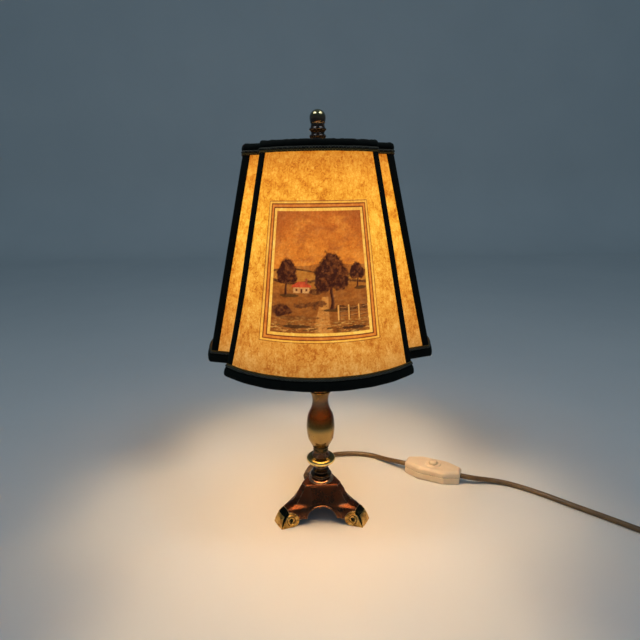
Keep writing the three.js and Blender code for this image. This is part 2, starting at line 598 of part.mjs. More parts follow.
// Harp and the stud on its crown
const hubTop = SHADE_TOP - HUB_BELOW_RIM;
const hubLow = hubTop - HUB_THICKNESS;
const flangeTop = hubLow - SEAT_GAP;
const flangeLow = flangeTop - STUD_FLANGE_HEIGHT;
const harpTop = flangeLow - SEAT_GAP - HARP_WIRE_RADIUS;
const HARP_SHARES = [[0.708, 0.16], [0.917, 0.319], [1, 0.51], [0.958, 0.705], [0.77, 0.865], [0.417, 0.965]];
const harpLegs = [harpFoot, harpFoot + half(SOCKET_HEIGHT), harpFoot + SOCKET_HEIGHT,
  harpFoot + SOCKET_HEIGHT + SOCKET_HEIGHT];
const harpSide = [...harpLegs.map((z) => new THREE.Vector3(HARP_FOOT_SPREAD, 0, z)),
  ...HARP_SHARES.map(([x, z]) => new THREE.Vector3(x * HARP_SPREAD, 0, mix(harpFoot, harpTop, z)))];
const harpOther = harpSide.map((p) => new THREE.Vector3(-p.x, p.y, p.z)).reverse();
add('harp', tube(smoothCurve([...harpSide, new THREE.Vector3(0, 0, harpTop), ...harpOther]),
  HARP_WIRE_RADIUS, HARP_STEPS, WIRE_SIDES), BRASS);
add('harp_stud', turn([[0, flangeLow], [STUD_FLANGE_RADIUS, flangeLow], [STUD_FLANGE_RADIUS, flangeTop],
  [STUD_RADIUS, flangeTop], [STUD_RADIUS, flangeLow + STUD_LENGTH], [0, flangeLow + STUD_LENGTH]],
SMALL_SEGMENTS), BRASS);

// Finial, bored from below for the stud
const FINIAL_BASE_SHARES = [[0.73, 0], [0.79, 0.07], [0.62, 0.13], [0.52, 0.22], [0.58, 0.28], [0.8, 0.31],
  [0.83, 0.345], [0.78, 0.385], [0.58, 0.43], [0.88, 0.49], [1, 0.535], [0.86, 0.59], [0.58, 0.625],
  [0.56, 0.66]];
const FINIAL_BALL_STEPS = 8;
const finialLow = hubTop + SEAT_GAP;
const finialHeight = LAMP_HEIGHT - finialLow;
const finialBore = STUD_RADIUS + CLEARANCE;
const ballCentre = LAMP_HEIGHT - FINIAL_BALL_RADIUS;
const ballStart = radians(-45);
const finialBall = Array.from({ length: FINIAL_BALL_STEPS + 1 }, (_, k) => {
  const angle = mix(ballStart, radians(90), k / FINIAL_BALL_STEPS);
  const radius = k === FINIAL_BALL_STEPS ? 0 : FINIAL_BALL_RADIUS * Math.cos(angle);
  return [radius, ballCentre + FINIAL_BALL_RADIUS * Math.sin(angle)];
});
add('finial', turn([[0, finialLow + FINIAL_BORE_DEPTH], [finialBore, finialLow + FINIAL_BORE_DEPTH],
  [finialBore, finialLow],
  ...FINIAL_BASE_SHARES.map(([r, z]) => [r * FINIAL_RING_RADIUS, finialLow + z * finialHeight]),
  ...finialBall]), BRASS);

// Shade outline at unit radius, counter-clockwise from the front panel's left edge
const shadeRadius = (z) => mix(SHADE_BOTTOM_RADIUS, SHADE_TOP_RADIUS, (z - SHADE_BOTTOM) / (SHADE_TOP - SHADE_BOTTOM));
const unitAt = (degrees) => new THREE.Vector2(Math.sin(radians(degrees)), -Math.cos(radians(degrees)));
const outline = [];
const arcs = [];
const SIDE_COUNT = 4;
const QUARTER_DEGREES = 90;
const notchMiddle = half(FRONT_EDGE_DEGREES + SIDE_EDGE_DEGREES);
for (let side = 0; side < SIDE_COUNT; side += 1) {
  const wide = side % half(SIDE_COUNT) === 0;
  const middle = side * QUARTER_DEGREES;
  const spread = wide ? FRONT_EDGE_DEGREES : QUARTER_DEGREES - SIDE_EDGE_DEGREES;
  const steps = wide ? FRONT_ARC_STEPS : SIDE_ARC_STEPS;
  const first = outline.length;
  for (let k = 0; k <= steps; k += 1) outline.push(unitAt(mix(middle - spread, middle + spread, k / steps)));
  arcs.push({ first, last: outline.length - 1, from: middle - spread, to: middle + spread, wide });
  const notch = middle + (wide ? notchMiddle : QUARTER_DEGREES - notchMiddle);
  outline.push(unitAt(notch).multiplyScalar(1 - NOTCH_DEPTH_SHARE));
}
const wrap = (i) => (i + outline.length) % outline.length;
const edgeNormal = (i) => {
  const edge = outline[wrap(i + 1)].clone().sub(outline[wrap(i)]).normalize();
  return new THREE.Vector2(edge.y, -edge.x);
};
const mitre = (a, b) => a.clone().add(b).divideScalar(1 + a.dot(b));
const mitres = outline.map((_, i) => mitre(edgeNormal(i - 1), edgeNormal(i)));
const lifted = (flat, z) => new THREE.Vector3(flat.x, flat.y, z);
const shadePoint = (i, z, offset) => lifted(
  outline[i].clone().multiplyScalar(shadeRadius(z)).addScaledVector(mitres[i], offset), z);

// A closed band round the whole shade from [offset, height] points
const band = (section) => loft(outline.map((_, i) => section.map(([offset, z]) => shadePoint(i, z, offset))), true);

const panelTop = SHADE_TOP - TRIM_WEB - SEAT_GAP;
const panelLow = SHADE_BOTTOM + TRIM_WEB + SEAT_GAP;
const sheetSection = [[-PANEL_THICKNESS, panelLow], [0, panelLow], [0, panelTop], [-PANEL_THICKNESS, panelTop]];

function panel({ first, last, from, to }) {
  const edge = (degrees) => sheetSection.map(([offset, z]) => lifted(
    unitAt(degrees).multiplyScalar(shadeRadius(z) + offset), z));
  const rings = [edge(from + PANEL_EDGE_GAP_DEGREES)];
  for (let i = first + 1; i < last; i += 1) rings.push(sheetSection.map(([o, z]) => shadePoint(i, z, o)));
  return loft([...rings, edge(to - PANEL_EDGE_GAP_DEGREES)]);
}

// Bent sheet of the notch between two outer corners
function notchSheet(vertex) {
  const edge = (corner, normal, toward) => sheetSection.map(([offset, z]) => {
    const start = outline[corner].clone().multiplyScalar(shadeRadius(z));
    return lifted(start.addScaledVector(toward, NOTCH_SHEET_EDGE_GAP).addScaledVector(normal, offset), z);
  });
  const [before, after] = [wrap(vertex - 1), wrap(vertex + 1)];
  const into = (corner) => outline[vertex].clone().sub(outline[corner]).normalize();
  return loft([edge(before, edgeNormal(before), into(before)), sheetSection.map(([o, z]) => shadePoint(vertex, z, o)),
    edge(after, edgeNormal(vertex), into(after))]);
}
const notches = arcs.map(({ last }) => wrap(last + 1));
['panel_front', 'panel_right', 'panel_back', 'panel_left'].forEach((name, k) => add(name, panel(arcs[k]), PARCHMENT));
['notch_sheet_front_right', 'notch_sheet_back_right', 'notch_sheet_back_left', 'notch_sheet_front_left']
  .forEach((name, k) => add(name, notchSheet(notches[k]), PARCHMENT));

// Wire frame with its spider, soldered into one piece
const wireOffset = -(PANEL_THICKNESS + SEAT_GAP + FRAME_WIRE_RADIUS);
const ringTop = panelTop - FRAME_WIRE_RADIUS;
const ringLow = panelLow + FRAME_WIRE_RADIUS;
const wireRing = (z) => band(circle(FRAME_WIRE_RADIUS, WIRE_SIDES).map(({ x, y }) => [wireOffset + x, z + y]));
const cornerIndexes = arcs.flatMap(({ first, last }) => [first, last]);
const uprights = [...cornerIndexes, ...notches].map((i) => rod(shadePoint(i, ringLow, wireOffset),
  shadePoint(i, ringTop, wireOffset), FRAME_WIRE_RADIUS, WIRE_SIDES));
const armEnd = SHADE_TOP - TOP_TRIM_HEIGHT;
const frontCorners = arcs.filter(({ wide }) => wide).flatMap(({ first, last }) => [first, last]);
const arms = frontCorners.map((i) => {
  const end = shadePoint(i, armEnd, wireOffset);
  const start = new THREE.Vector3(end.x, end.y, 0).setLength(HUB_RADIUS - FRAME_WIRE_RADIUS);
  return rod(start.setZ(hubLow + half(HUB_THICKNESS)), end, FRAME_WIRE_RADIUS, WIRE_SIDES);
});
const hub = turnBored([[HUB_RADIUS, hubLow], [HUB_RADIUS, hubTop]], finialBore, SMALL_SEGMENTS);
add('shade_frame', join(wireRing(ringTop), wireRing(ringLow), ...uprights, ...arms, hub), STEEL);

// U-shaped velvet trims over both rims
const legInside = wireOffset - FRAME_WIRE_RADIUS - SEAT_GAP;
const legBack = legInside - TRIM_WEB;
const trimSection = (edge, web, outerEnd, innerEnd) => [[SEAT_GAP, outerEnd], [TRIM_THICKNESS, outerEnd],
  [TRIM_THICKNESS, edge], [legBack, edge], [legBack, innerEnd], [legInside, innerEnd], [legInside, web],
  [SEAT_GAP, web]];
const topTrimEnd = SHADE_TOP - TOP_TRIM_HEIGHT;
const bottomTrimEnd = SHADE_BOTTOM + BOTTOM_TRIM_HEIGHT;
add('trim_top', band(trimSection(SHADE_TOP, SHADE_TOP - TRIM_WEB, topTrimEnd, SHADE_TOP - TRIM_INNER_LEG)), VELVET);
add('trim_bottom', band(trimSection(SHADE_BOTTOM, SHADE_BOTTOM + TRIM_WEB, bottomTrimEnd,
  SHADE_BOTTOM + TRIM_INNER_LEG)), VELVET);

// Ribbon bent round an outer corner, between the trims
function ribbon(corner, towardArc) {
  const arcDegrees = Math.atan2(outline[corner].x, -outline[corner].y);
  const radial = outline[corner].clone();
  const alongArc = new THREE.Vector2(Math.cos(arcDegrees), Math.sin(arcDegrees)).multiplyScalar(towardArc);
  const vertex = wrap(corner - towardArc);
  const alongWall = outline[vertex].clone().sub(outline[corner]).normalize();
  const wallNormal = edgeNormal(towardArc > 0 ? vertex : corner);
  const cornerMitre = mitre(radial, wallNormal);
  const at = (z, along, width, normal, offset) => lifted(outline[corner].clone().multiplyScalar(shadeRadius(z))
    .addScaledVector(along, width).addScaledVector(normal, offset), z);
  const thick = CLEARANCE + RIBBON_THICKNESS;
  const ring = (z) => [at(z, alongArc, RIBBON_WIDTH, radial, CLEARANCE), at(z, alongArc, 0, cornerMitre, CLEARANCE),
    at(z, alongWall, RIBBON_WIDTH, wallNormal, CLEARANCE), at(z, alongWall, RIBBON_WIDTH, wallNormal, thick),
    at(z, alongArc, 0, cornerMitre, thick), at(z, alongArc, RIBBON_WIDTH, radial, thick)];
  return loft([ring(bottomTrimEnd + CLEARANCE), ring(topTrimEnd - CLEARANCE)]);
}
['front', 'right', 'back', 'left'].forEach((name, k) => {
  add(`ribbon_${name}_a`, ribbon(arcs[k].first, 1), VELVET);
  add(`ribbon_${name}_b`, ribbon(arcs[k].last, -1), VELVET);
});

// Inline switch, built about its own centre with X along the cord, then turned into place
const switchPlaced = (geometry) => geometry.rotateZ(radians(SWITCH_TURN_DEGREES))
  .translate(SWITCH_PLACE[0], SWITCH_PLACE[1], 0);
const switchRing = (length, width, flat, endWidth, z, inset = 0) => [[1, -1], [1, 1], [-1, 1], [-1, -1]]
  .flatMap(([sx, sy]) => {
    const end = new THREE.Vector3(sx * (half(length) - inset), sy * (half(endWidth) - inset * HALF_SHARE), z);
    const side = new THREE.Vector3(sx * half(flat), sy * (half(width) - inset), z);
    return sx * sy < 0 ? [side, end] : [end, side];
  });
const bodyRing = (z, inset) => switchRing(SWITCH_LENGTH, SWITCH_WIDTH, SWITCH_FLAT_LENGTH, SWITCH_END_WIDTH, z, inset);
const roomLength = SWITCH_LENGTH - SWITCH_ENTRY_LENGTH - SWITCH_ENTRY_LENGTH;
const slope = (SWITCH_WIDTH - SWITCH_END_WIDTH) / (SWITCH_LENGTH - SWITCH_FLAT_LENGTH);
const roomWidth = SWITCH_WIDTH - SWITCH_WALL - SWITCH_WALL;
const roomEndWidth = roomWidth - slope * (roomLength - SWITCH_FLAT_LENGTH);
const room = (low, high) => loft([low, high].map((z) =>
  switchRing(roomLength, roomWidth, SWITCH_FLAT_LENGTH, roomEndWidth, z)));
const cordHeight = SWITCH_PARTING + half(SEAT_GAP);
const cordRadius = half(CORD_DIAMETER);
const entryBore = rod(new THREE.Vector3(-SWITCH_LENGTH, 0, cordHeight), new THREE.Vector3(SWITCH_LENGTH, 0, cordHeight),
  cordRadius + CLEARANCE, BORE_SIDES);
const screwBore = SCREW_RADIUS + CLEARANCE;
const postRadius = screwBore + SCREW_POST_WALL;
const headBore = SCREW_HEAD_RADIUS + CLEARANCE;
const headTop = SEAT_GAP + SCREW_HEAD_HEIGHT;
const topShellLow = SWITCH_PARTING + SEAT_GAP;
const ceiling = SWITCH_HEIGHT - SWITCH_WALL;
const screwTop = ceiling - SWITCH_WALL;
const atScrew = (geometry) => geometry.translate(SCREW_PLACE[0], SCREW_PLACE[1], 0);
const bottomOuter = loft([bodyRing(0, SWITCH_BEVEL * HALF_SHARE), bodyRing(SWITCH_BEVEL * HALF_SHARE, 0),
  bodyRing(SWITCH_PARTING, 0)]);
const topOuter = loft([bodyRing(topShellLow, 0), bodyRing(SWITCH_HEIGHT - SWITCH_BEVEL, 0),
  bodyRing(SWITCH_HEIGHT, SWITCH_BEVEL)]);
const bottomHollow = cut(bottomOuter, room(SWITCH_WALL, SWITCH_HEIGHT), entryBore);
add('switch_housing_bottom', switchPlaced(cut(join(bottomHollow,
  atScrew(pillar(postRadius, half(SWITCH_WALL), SWITCH_PARTING))),
atScrew(pillar(screwBore, -OVERRUN, SWITCH_HEIGHT)), atScrew(pillar(headBore, -OVERRUN, headTop + SEAT_GAP)))), IVORY);
const buttonBore = BUTTON_RADIUS + CLEARANCE;
const bossTop = SWITCH_HEIGHT + BOSS_HEIGHT;
const topHollow = cut(topOuter, room(0, ceiling), entryBore);
add('switch_housing_top', switchPlaced(cut(join(topHollow,
  pillar(BOSS_RADIUS, ceiling + half(SWITCH_WALL), bossTop, TURNED_SEGMENTS),
  atScrew(pillar(postRadius, topShellLow, ceiling + half(SWITCH_WALL)))),
pillar(buttonBore, 0, bossTop + OVERRUN, TURNED_SEGMENTS),
atScrew(pillar(screwBore, 0, screwTop + SEAT_GAP)))), IVORY);
add('switch_screw', switchPlaced(atScrew(turn([[0, SEAT_GAP], [SCREW_HEAD_RADIUS, SEAT_GAP],
  [SCREW_HEAD_RADIUS, headTop], [SCREW_RADIUS, headTop], [SCREW_RADIUS, screwTop], [0, screwTop]],
SMALL_SEGMENTS))), STEEL);

// Contact bar, terminals, spring and button
const barLow = SWITCH_WALL + SEAT_GAP;
const barTop = barLow + CONTACT_BAR_HEIGHT;
add('switch_contact', switchPlaced(block([-half(CONTACT_BAR_LENGTH), half(CONTACT_BAR_LENGTH)],
  [-half(CONTACT_BAR_WIDTH), half(CONTACT_BAR_WIDTH)], [barLow, barTop])), BRASS);
const terminalStart = half(CONTACT_BAR_LENGTH) + CLEARANCE;
[-1, 1].forEach((side, k) => {
  const ends = [side * terminalStart, side * (terminalStart + TERMINAL_LENGTH)].sort((a, b) => a - b);
  add(`switch_terminal_${k + 1}`, switchPlaced(block(ends, [-half(TERMINAL_WIDTH), half(TERMINAL_WIDTH)],
    [barLow, barLow + TERMINAL_HEIGHT])), BRASS);
});
const flangeHigh = ceiling - SEAT_GAP;
const flangeUnder = flangeHigh - BUTTON_FLANGE_HEIGHT;
const buttonTop = bossTop + BUTTON_RISE;
const stemLow = barTop + BUTTON_TRAVEL + CLEARANCE;
const BUTTON_DOME_SHARES = [[1, 0], [0.97, 0.35], [0.82, 0.72], [0.5, 0.93], [0, 1]];
const domeLow = bossTop + half(BUTTON_RISE);
add('switch_button', switchPlaced(turn([[0, stemLow], [BUTTON_STEM_RADIUS, stemLow], [BUTTON_STEM_RADIUS, flangeUnder],
  [BUTTON_FLANGE_RADIUS, flangeUnder], [BUTTON_FLANGE_RADIUS, flangeHigh], [BUTTON_RADIUS, flangeHigh],
  ...BUTTON_DOME_SHARES.map(([r, z]) => [r * BUTTON_RADIUS, mix(domeLow, buttonTop, z)])],
SMALL_SEGMENTS + 4)), IVORY);
const springLow = barTop + SEAT_GAP + SPRING_WIRE_RADIUS;
const springHigh = flangeUnder - SEAT_GAP - SPRING_WIRE_RADIUS;
const springSteps = SPRING_TURNS * SPRING_STEPS_PER_TURN;
const springPath = Array.from({ length: springSteps + 1 }, (_, k) => {
  const angle = (k * radians(360)) / SPRING_STEPS_PER_TURN;
  return new THREE.Vector3(SPRING_RADIUS * Math.cos(angle), SPRING_RADIUS * Math.sin(angle),
    mix(springLow, springHigh, k / springSteps));
});
add('switch_spring', switchPlaced(tube(smoothCurve(springPath), SPRING_WIRE_RADIUS, springSteps, 5)), STEEL);

// Free stretches of the cord
const switchAxis = new THREE.Vector3(Math.cos(radians(SWITCH_TURN_DEGREES)), Math.sin(radians(SWITCH_TURN_DEGREES)), 0);
const switchPoint = (along) => new THREE.Vector3(SWITCH_PLACE[0], SWITCH_PLACE[1], cordHeight)
  .addScaledVector(switchAxis, along);
const cordInSwitch = half(roomLength) + CLEARANCE;
const cordOutside = half(SWITCH_LENGTH) + CORD_DIAMETER;
const startPoints = [...points3(CORD_START_ROUTE), switchPoint(-cordOutside), switchPoint(-half(SWITCH_LENGTH)),
  switchPoint(-cordInSwitch)];
const cordSteps = (curve) => Math.ceil(curve.getLength() / CORD_STEP);
const startCurve = smoothCurve(startPoints);
const startSteps = cordSteps(startCurve);
add('cord_lamp_to_switch', tube(startCurve, cordRadius, startSteps, CORD_SIDES), CORD_COLOUR);

// Strain relief: a tapered sleeve along the cord, through the base wall
const sideways = (tangent) => new THREE.Vector3(-tangent.y, tangent.x, 0).normalize();
function ringRound(centre, tangent, radius, sides) {
  const side = sideways(tangent);
  const up = new THREE.Vector3().crossVectors(tangent, side);
  return circle(radius, sides).map(({ x, y }) => centre.clone().addScaledVector(side, x).addScaledVector(up, y));
}
const glandRings = Array.from({ length: GLAND_STEP_COUNT + 1 }, (_, k) => {
  const at = (GLAND_FIRST_STEP_COUNT + k) / startSteps;
  return [startCurve.getPointAt(at), startCurve.getTangentAt(at),
    mix(GLAND_RADIUS, GLAND_TIP_RADIUS, Math.max(0, (k - 1) / (GLAND_STEP_COUNT - 1)))];
});
add('cord_grommet', loft([...glandRings.map(([c, t, r]) => ringRound(c, t, r, BORE_SIDES)),
  ...glandRings.map(([c, t]) => ringRound(c, t, cordRadius + CLEARANCE, BORE_SIDES)).reverse()], true), RUBBER);

// Coil: spirals in on the lower layer, climbs in the half turn where it reverses, and spirals out above
const coilLow = TIE_THICKNESS + CLEARANCE + cordRadius;
const coilHigh = coilLow + COIL_LAYER_RISE;
const coilInner = COIL_OUTER_RADIUS - COIL_PITCH * COIL_TURNS_IN_COUNT;
const outFrom = COIL_TURNS_IN_COUNT + COIL_REVERSAL_SHARE;
const coilTurns = outFrom + COIL_TURNS_OUT_COUNT;
function coilAt(turns) {
  let radius = COIL_OUTER_RADIUS - COIL_PITCH * turns;
  if (turns > COIL_TURNS_IN_COUNT) {
    const middle = COIL_TURNS_IN_COUNT + half(COIL_REVERSAL_SHARE);
    radius = coilInner - COIL_PITCH * (half(COIL_REVERSAL_SHARE) - Math.abs(turns - middle));
  }
  if (turns > outFrom) radius = coilInner + COIL_PITCH * (turns - outFrom);
  const climb = smooth((turns - COIL_TURNS_IN_COUNT) / COIL_REVERSAL_SHARE);
  const angle = radians(COIL_START_DEGREES + turns * 360);
  return new THREE.Vector3(COIL_PLACE[0] + radius * Math.cos(angle), COIL_PLACE[1] + radius * Math.sin(angle),
    mix(coilLow, coilHigh, climb));
}
const tangentAt = (turns) => {
  const angle = radians(COIL_START_DEGREES + turns * 360);
  return new THREE.Vector3(-Math.sin(angle), Math.cos(angle), 0);
};
const plugHeight = half(PLUG_THICKNESS);
const coilLine = [coilAt(0).addScaledVector(tangentAt(0), -CORD_DIAMETER)];
const coilSteps = Math.round(coilTurns * COIL_STEPS_PER_TURN);
for (let k = 0; k <= coilSteps; k += 1) coilLine.push(coilAt((k * coilTurns) / coilSteps));
const tailStart = coilAt(coilTurns);
const tailAxis = tangentAt(coilTurns);
const tailAt = (length) => {
  const drop = smooth((length / TAIL_LENGTH - TAIL_DROP_FROM_SHARE) / (TAIL_DROP_TO_SHARE - TAIL_DROP_FROM_SHARE));
  return tailStart.clone().addScaledVector(tailAxis, length).setZ(mix(coilHigh, plugHeight, drop));
};
const tailSteps = Math.ceil(TAIL_LENGTH / CORD_DIAMETER);
for (let k = 1; k <= tailSteps; k += 1) coilLine.push(tailAt((k * TAIL_LENGTH) / tailSteps));
const coilRings = coilLine.map((centre, k) => {
  const tangent = coilLine[Math.min(k + 1, coilLine.length - 1)].clone().sub(coilLine[Math.max(k - 1, 0)]).normalize();
  return ringRound(centre, tangent, cordRadius, COIL_SIDES);
});
add('cord_coil', loft(coilRings), CORD_COLOUR);

let leastGap = Infinity;
let coilLength = 0;
coilLine.forEach((p, i) => {
  if (i > 0) coilLength += p.distanceTo(coilLine[i - 1]);
  coilLine.slice(i + half(COIL_STEPS_PER_TURN)).forEach((q) => {
    leastGap = Math.min(leastGap, p.distanceTo(q) - CORD_DIAMETER);
  });
});

const coilStart = coilLine[0].clone().addScaledVector(tangentAt(0), -CLEARANCE);
const endPoints = [switchPoint(cordInSwitch), switchPoint(half(SWITCH_LENGTH)), switchPoint(cordOutside),
  ...points3(CORD_END_ROUTE), coilStart.clone().addScaledVector(tangentAt(0), -CORD_DIAMETER), coilStart];
const endCurve = smoothCurve(endPoints);
add('cord_switch_to_coil', tube(endCurve, cordRadius, cordSteps(endCurve), CORD_SIDES), CORD_COLOUR);
console.log(`cord stretches ${startCurve.getLength().toFixed(0)} + ${endCurve.getLength().toFixed(0)} + coil `
  + `${coilLength.toFixed(0)} mm, least gap of the coil to itself ${leastGap.toFixed(2)} mm`);

// Tie: a flat strip round all the turns at one place
const tieTurns = outFrom;
const tieDegrees = COIL_START_DEGREES + tieTurns * 360;
const tieInner = coilInner - cordRadius - CLEARANCE - CLEARANCE;
const tieOuter = COIL_OUTER_RADIUS - COIL_PITCH * COIL_REVERSAL_SHARE + cordRadius + CLEARANCE + CLEARANCE;
const tieHigh = coilHigh + cordRadius + CLEARANCE;
const tieLoop = (grown) => {
  const [r0, r1, z0, z1] = [tieInner - grown, tieOuter + grown, TIE_THICKNESS - grown, tieHigh + grown];
  const bevel = half(cordRadius);
  return [[r0 + bevel, z0], [r1 - bevel, z0], [r1, z0 + bevel], [r1, z1 - bevel], [r1 - bevel, z1],
    [r0 + bevel, z1], [r0, z1 - bevel], [r0, z0 + bevel]];
};
const tieStrip = (grown, width) => loft([-half(width), half(width)].map((across) =>
  tieLoop(grown).map(([r, z]) => new THREE.Vector3(r, across, z))));
add('coil_tie', cut(tieStrip(TIE_THICKNESS, TIE_WIDTH), tieStrip(0, TIE_WIDTH + OVERRUN))
  .rotateZ(radians(tieDegrees)).translate(COIL_PLACE[0], COIL_PLACE[1], 0), RUBBER);

// Plug on the end of the coil, built along X from the end of its tapered sleeve
const PLUG_SHARES = [[0, 0.62, 0.9], [0.1, 0.7, 0.95], [0.32, 0.9, 1], [0.7, 1, 1], [1, 1, 1]];
const OCTAGON_SHARE = 0.586;
function plugRing(x, halfWidth, halfHeight, chamfer) {
  return [[1, -1], [1, 1], [-1, 1], [-1, -1]].flatMap(([sy, sz]) => {
    const side = new THREE.Vector3(x, sy * halfWidth, sz * (halfHeight - chamfer));
    const flat = new THREE.Vector3(x, sy * (halfWidth - chamfer), sz * halfHeight);
    return sy * sz < 0 ? [flat, side] : [side, flat];
  });
}
const sleeveEnd = PLUG_SLEEVE_RADIUS + CLEARANCE + CLEARANCE;
const plugRings = [plugRing(0, PLUG_SLEEVE_RADIUS, PLUG_SLEEVE_RADIUS, OCTAGON_SHARE * PLUG_SLEEVE_RADIUS),
  plugRing(PLUG_SLEEVE_LENGTH, sleeveEnd, sleeveEnd, OCTAGON_SHARE * sleeveEnd),
  ...PLUG_SHARES.map(([x, w, h]) => plugRing(PLUG_SLEEVE_LENGTH + CLEARANCE + x * PLUG_LENGTH,
    half(PLUG_WIDTH) * w, plugHeight * h, OCTAGON_SHARE * PLUG_SLEEVE_RADIUS))];
const plugFace = PLUG_SLEEVE_LENGTH + CLEARANCE + PLUG_LENGTH;
const plugRod = (from, to, radius, y) => rod(new THREE.Vector3(from, y, 0), new THREE.Vector3(to, y, 0), radius,
  BORE_SIDES);
const pinPlaces = [-half(PLUG_PIN_SPACING), half(PLUG_PIN_SPACING)];
const plugStart = TAIL_LENGTH - PLUG_SLEEVE_LENGTH - PLUG_CORD_DEPTH;
const plugPlaced = (geometry) => {
  const origin = tailAt(plugStart);
  return geometry.rotateZ(Math.atan2(tailAxis.y, tailAxis.x)).translate(origin.x, origin.y, plugHeight);
};
add('plug_body', plugPlaced(cut(loft(plugRings),
  plugRod(-OVERRUN, TAIL_LENGTH - plugStart + CLEARANCE, cordRadius + CLEARANCE, 0),
  ...pinPlaces.map((y) => plugRod(plugFace - PLUG_PIN_ROOT - CLEARANCE, plugFace + OVERRUN,
    PLUG_PIN_RADIUS + CLEARANCE, y)))), IVORY);
pinPlaces.forEach((y, k) => add(`plug_pin_${k + 1}`, plugPlaced(plugRod(plugFace - PLUG_PIN_ROOT,
  plugFace + PLUG_PIN_LENGTH, PLUG_PIN_RADIUS, y)), STEEL));

export default lamp;
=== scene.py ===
# Looks of the small table lamp: cast tripod base, turned brass column, lit notched parchment shade, cord with switch
from math import acos, atan2, ceil, cos, hypot, pi, radians, sin, tan

import bmesh
import bpy
import numpy as np
from mathutils import Matrix, Vector


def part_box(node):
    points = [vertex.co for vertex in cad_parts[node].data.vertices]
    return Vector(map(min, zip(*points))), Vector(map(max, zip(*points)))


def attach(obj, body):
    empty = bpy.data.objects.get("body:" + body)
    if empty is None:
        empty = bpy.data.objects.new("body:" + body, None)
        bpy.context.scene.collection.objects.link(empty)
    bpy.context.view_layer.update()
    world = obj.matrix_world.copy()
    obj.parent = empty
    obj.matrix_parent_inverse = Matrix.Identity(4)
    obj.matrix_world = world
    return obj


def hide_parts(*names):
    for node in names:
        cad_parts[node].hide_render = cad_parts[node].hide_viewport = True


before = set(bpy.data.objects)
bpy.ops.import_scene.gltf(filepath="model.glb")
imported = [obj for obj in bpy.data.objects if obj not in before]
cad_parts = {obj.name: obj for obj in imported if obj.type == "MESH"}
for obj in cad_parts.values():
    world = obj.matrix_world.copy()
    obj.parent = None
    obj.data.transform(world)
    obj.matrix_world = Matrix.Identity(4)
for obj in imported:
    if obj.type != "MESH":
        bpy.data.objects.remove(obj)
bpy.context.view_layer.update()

scene = bpy.context.scene
scene.view_settings.view_transform = "Standard"
MM = 0.001


# Camera, at the photograph's viewing angle
def place_camera():
    yaw, pitch, roll = radians(1.36), radians(15.31), radians(0.55)
    away, height = 463.9, 343.0
    data = bpy.data.cameras.new("camera")
    # The focal length is 485 pixels in a picture of 640
    data.sensor_fit, data.sensor_width, data.lens, data.shift_x = "AUTO", 36, 36 * 485 / 640, 0.0007
    data.clip_start, data.clip_end = 0.01, 100
    forward = Vector((sin(yaw) * cos(pitch), cos(yaw) * cos(pitch), -sin(pitch)))
    right = Vector((cos(yaw), -sin(yaw), 0))
    up = right.cross(forward)
    across = right * cos(roll) - up * sin(roll)
    upward = right * sin(roll) + up * cos(roll)
    matrix = Matrix((across, upward, -forward)).transposed().to_4x4()
    matrix.translation = Vector((-away * sin(yaw), -away * cos(yaw), height)) * MM
    camera = bpy.data.objects.new("camera", data)
    scene.collection.objects.link(camera)
    camera.matrix_world = matrix
    scene.camera = camera


place_camera()


# Node trees in short form
class Graph:
    def __init__(self, name):
        self.material = bpy.data.materials.new(name)
        self.material.use_nodes = True
        self.tree = self.material.node_tree
        self.tree.nodes.clear()
        self.out = self.tree.nodes.new("ShaderNodeOutputMaterial")
        self.coord = self.tree.nodes.new("ShaderNodeTexCoord").outputs["Object"]

    def add(self, kind, inputs=None, **settings):
        node = self.tree.nodes.new("ShaderNode" + kind)
        for key, value in settings.items():
            setattr(node, key, value)
        for key, value in (inputs or {}).items():
            socket = node.inputs[key]
            if isinstance(value, bpy.types.NodeSocket):
                self.tree.links.new(value, socket)
            else:
                socket.default_value = value
        return node

    def noise(self, scale, detail, rough, distort=0.0, coord=None):
        return self.add("TexNoise", {"Vector": coord or self.coord, "Scale": scale, "Detail": detail,
                                     "Roughness": rough, "Distortion": distort}).outputs["Fac"]

    def stretched(self, x, y, z):
        return self.add("Mapping", {"Vector": self.coord, "Scale": (x, y, z)}).outputs[0]

    def math(self, operation, a, b=0.0, clamp=False):
        node = self.add("Math", {0: a, 1: b}, operation=operation)
        node.use_clamp = clamp
        return node.outputs[0]

    def span(self, value, low, high, to_low=0.0, to_high=1.0):
        node = self.add("MapRange", {"Value": value, "From Min": low, "From Max": high,
                                     "To Min": to_low, "To Max": to_high})
        return node.outputs[0]

    def ramp(self, value, stops):
        node = self.add("ValToRGB", {"Fac": value})
        marks = node.color_ramp.elements
        while len(marks) < len(stops):
            marks.new(0.5)
        for mark, (place, colour) in zip(marks, stops):
            mark.position = place
            mark.color = (*colour, 1)
        return node.outputs["Color"]

    def mix(self, share, a, b, blend="MIX"):
        node = self.add("Mix", data_type="RGBA", blend_type=blend)
        for key, value in ((0, share), (6, a), (7, b)):
            if isinstance(value, bpy.types.NodeSocket):
                self.tree.links.new(value, node.inputs[key])
            else:
                node.inputs[key].default_value = value if key == 0 else (*value, 1)
        return node.outputs[2]

    def bump(self, height, strength, distance, normal=None):
        inputs = {"Height": height, "Strength": strength, "Distance": distance}
        if normal is not None:
            inputs["Normal"] = normal
        return self.add("Bump", inputs).outputs[0]

    # Closes the tree with a Principled shader
    def finish(self, inputs):
        shader = self.add("BsdfPrincipled", inputs)
        self.tree.links.new(shader.outputs[0], self.out.inputs["Surface"])
        return self.material


def srgb(r, g, b):
    return tuple((c / 255 / 12.92) if c <= 10 else ((c / 255 + 0.055) / 1.055) ** 2.4 for c in (r, g, b))


# Lowest and highest level of a CAD node, in mm
def heights(node):
    low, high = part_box(node)
    return low.z / MM, high.z / MM


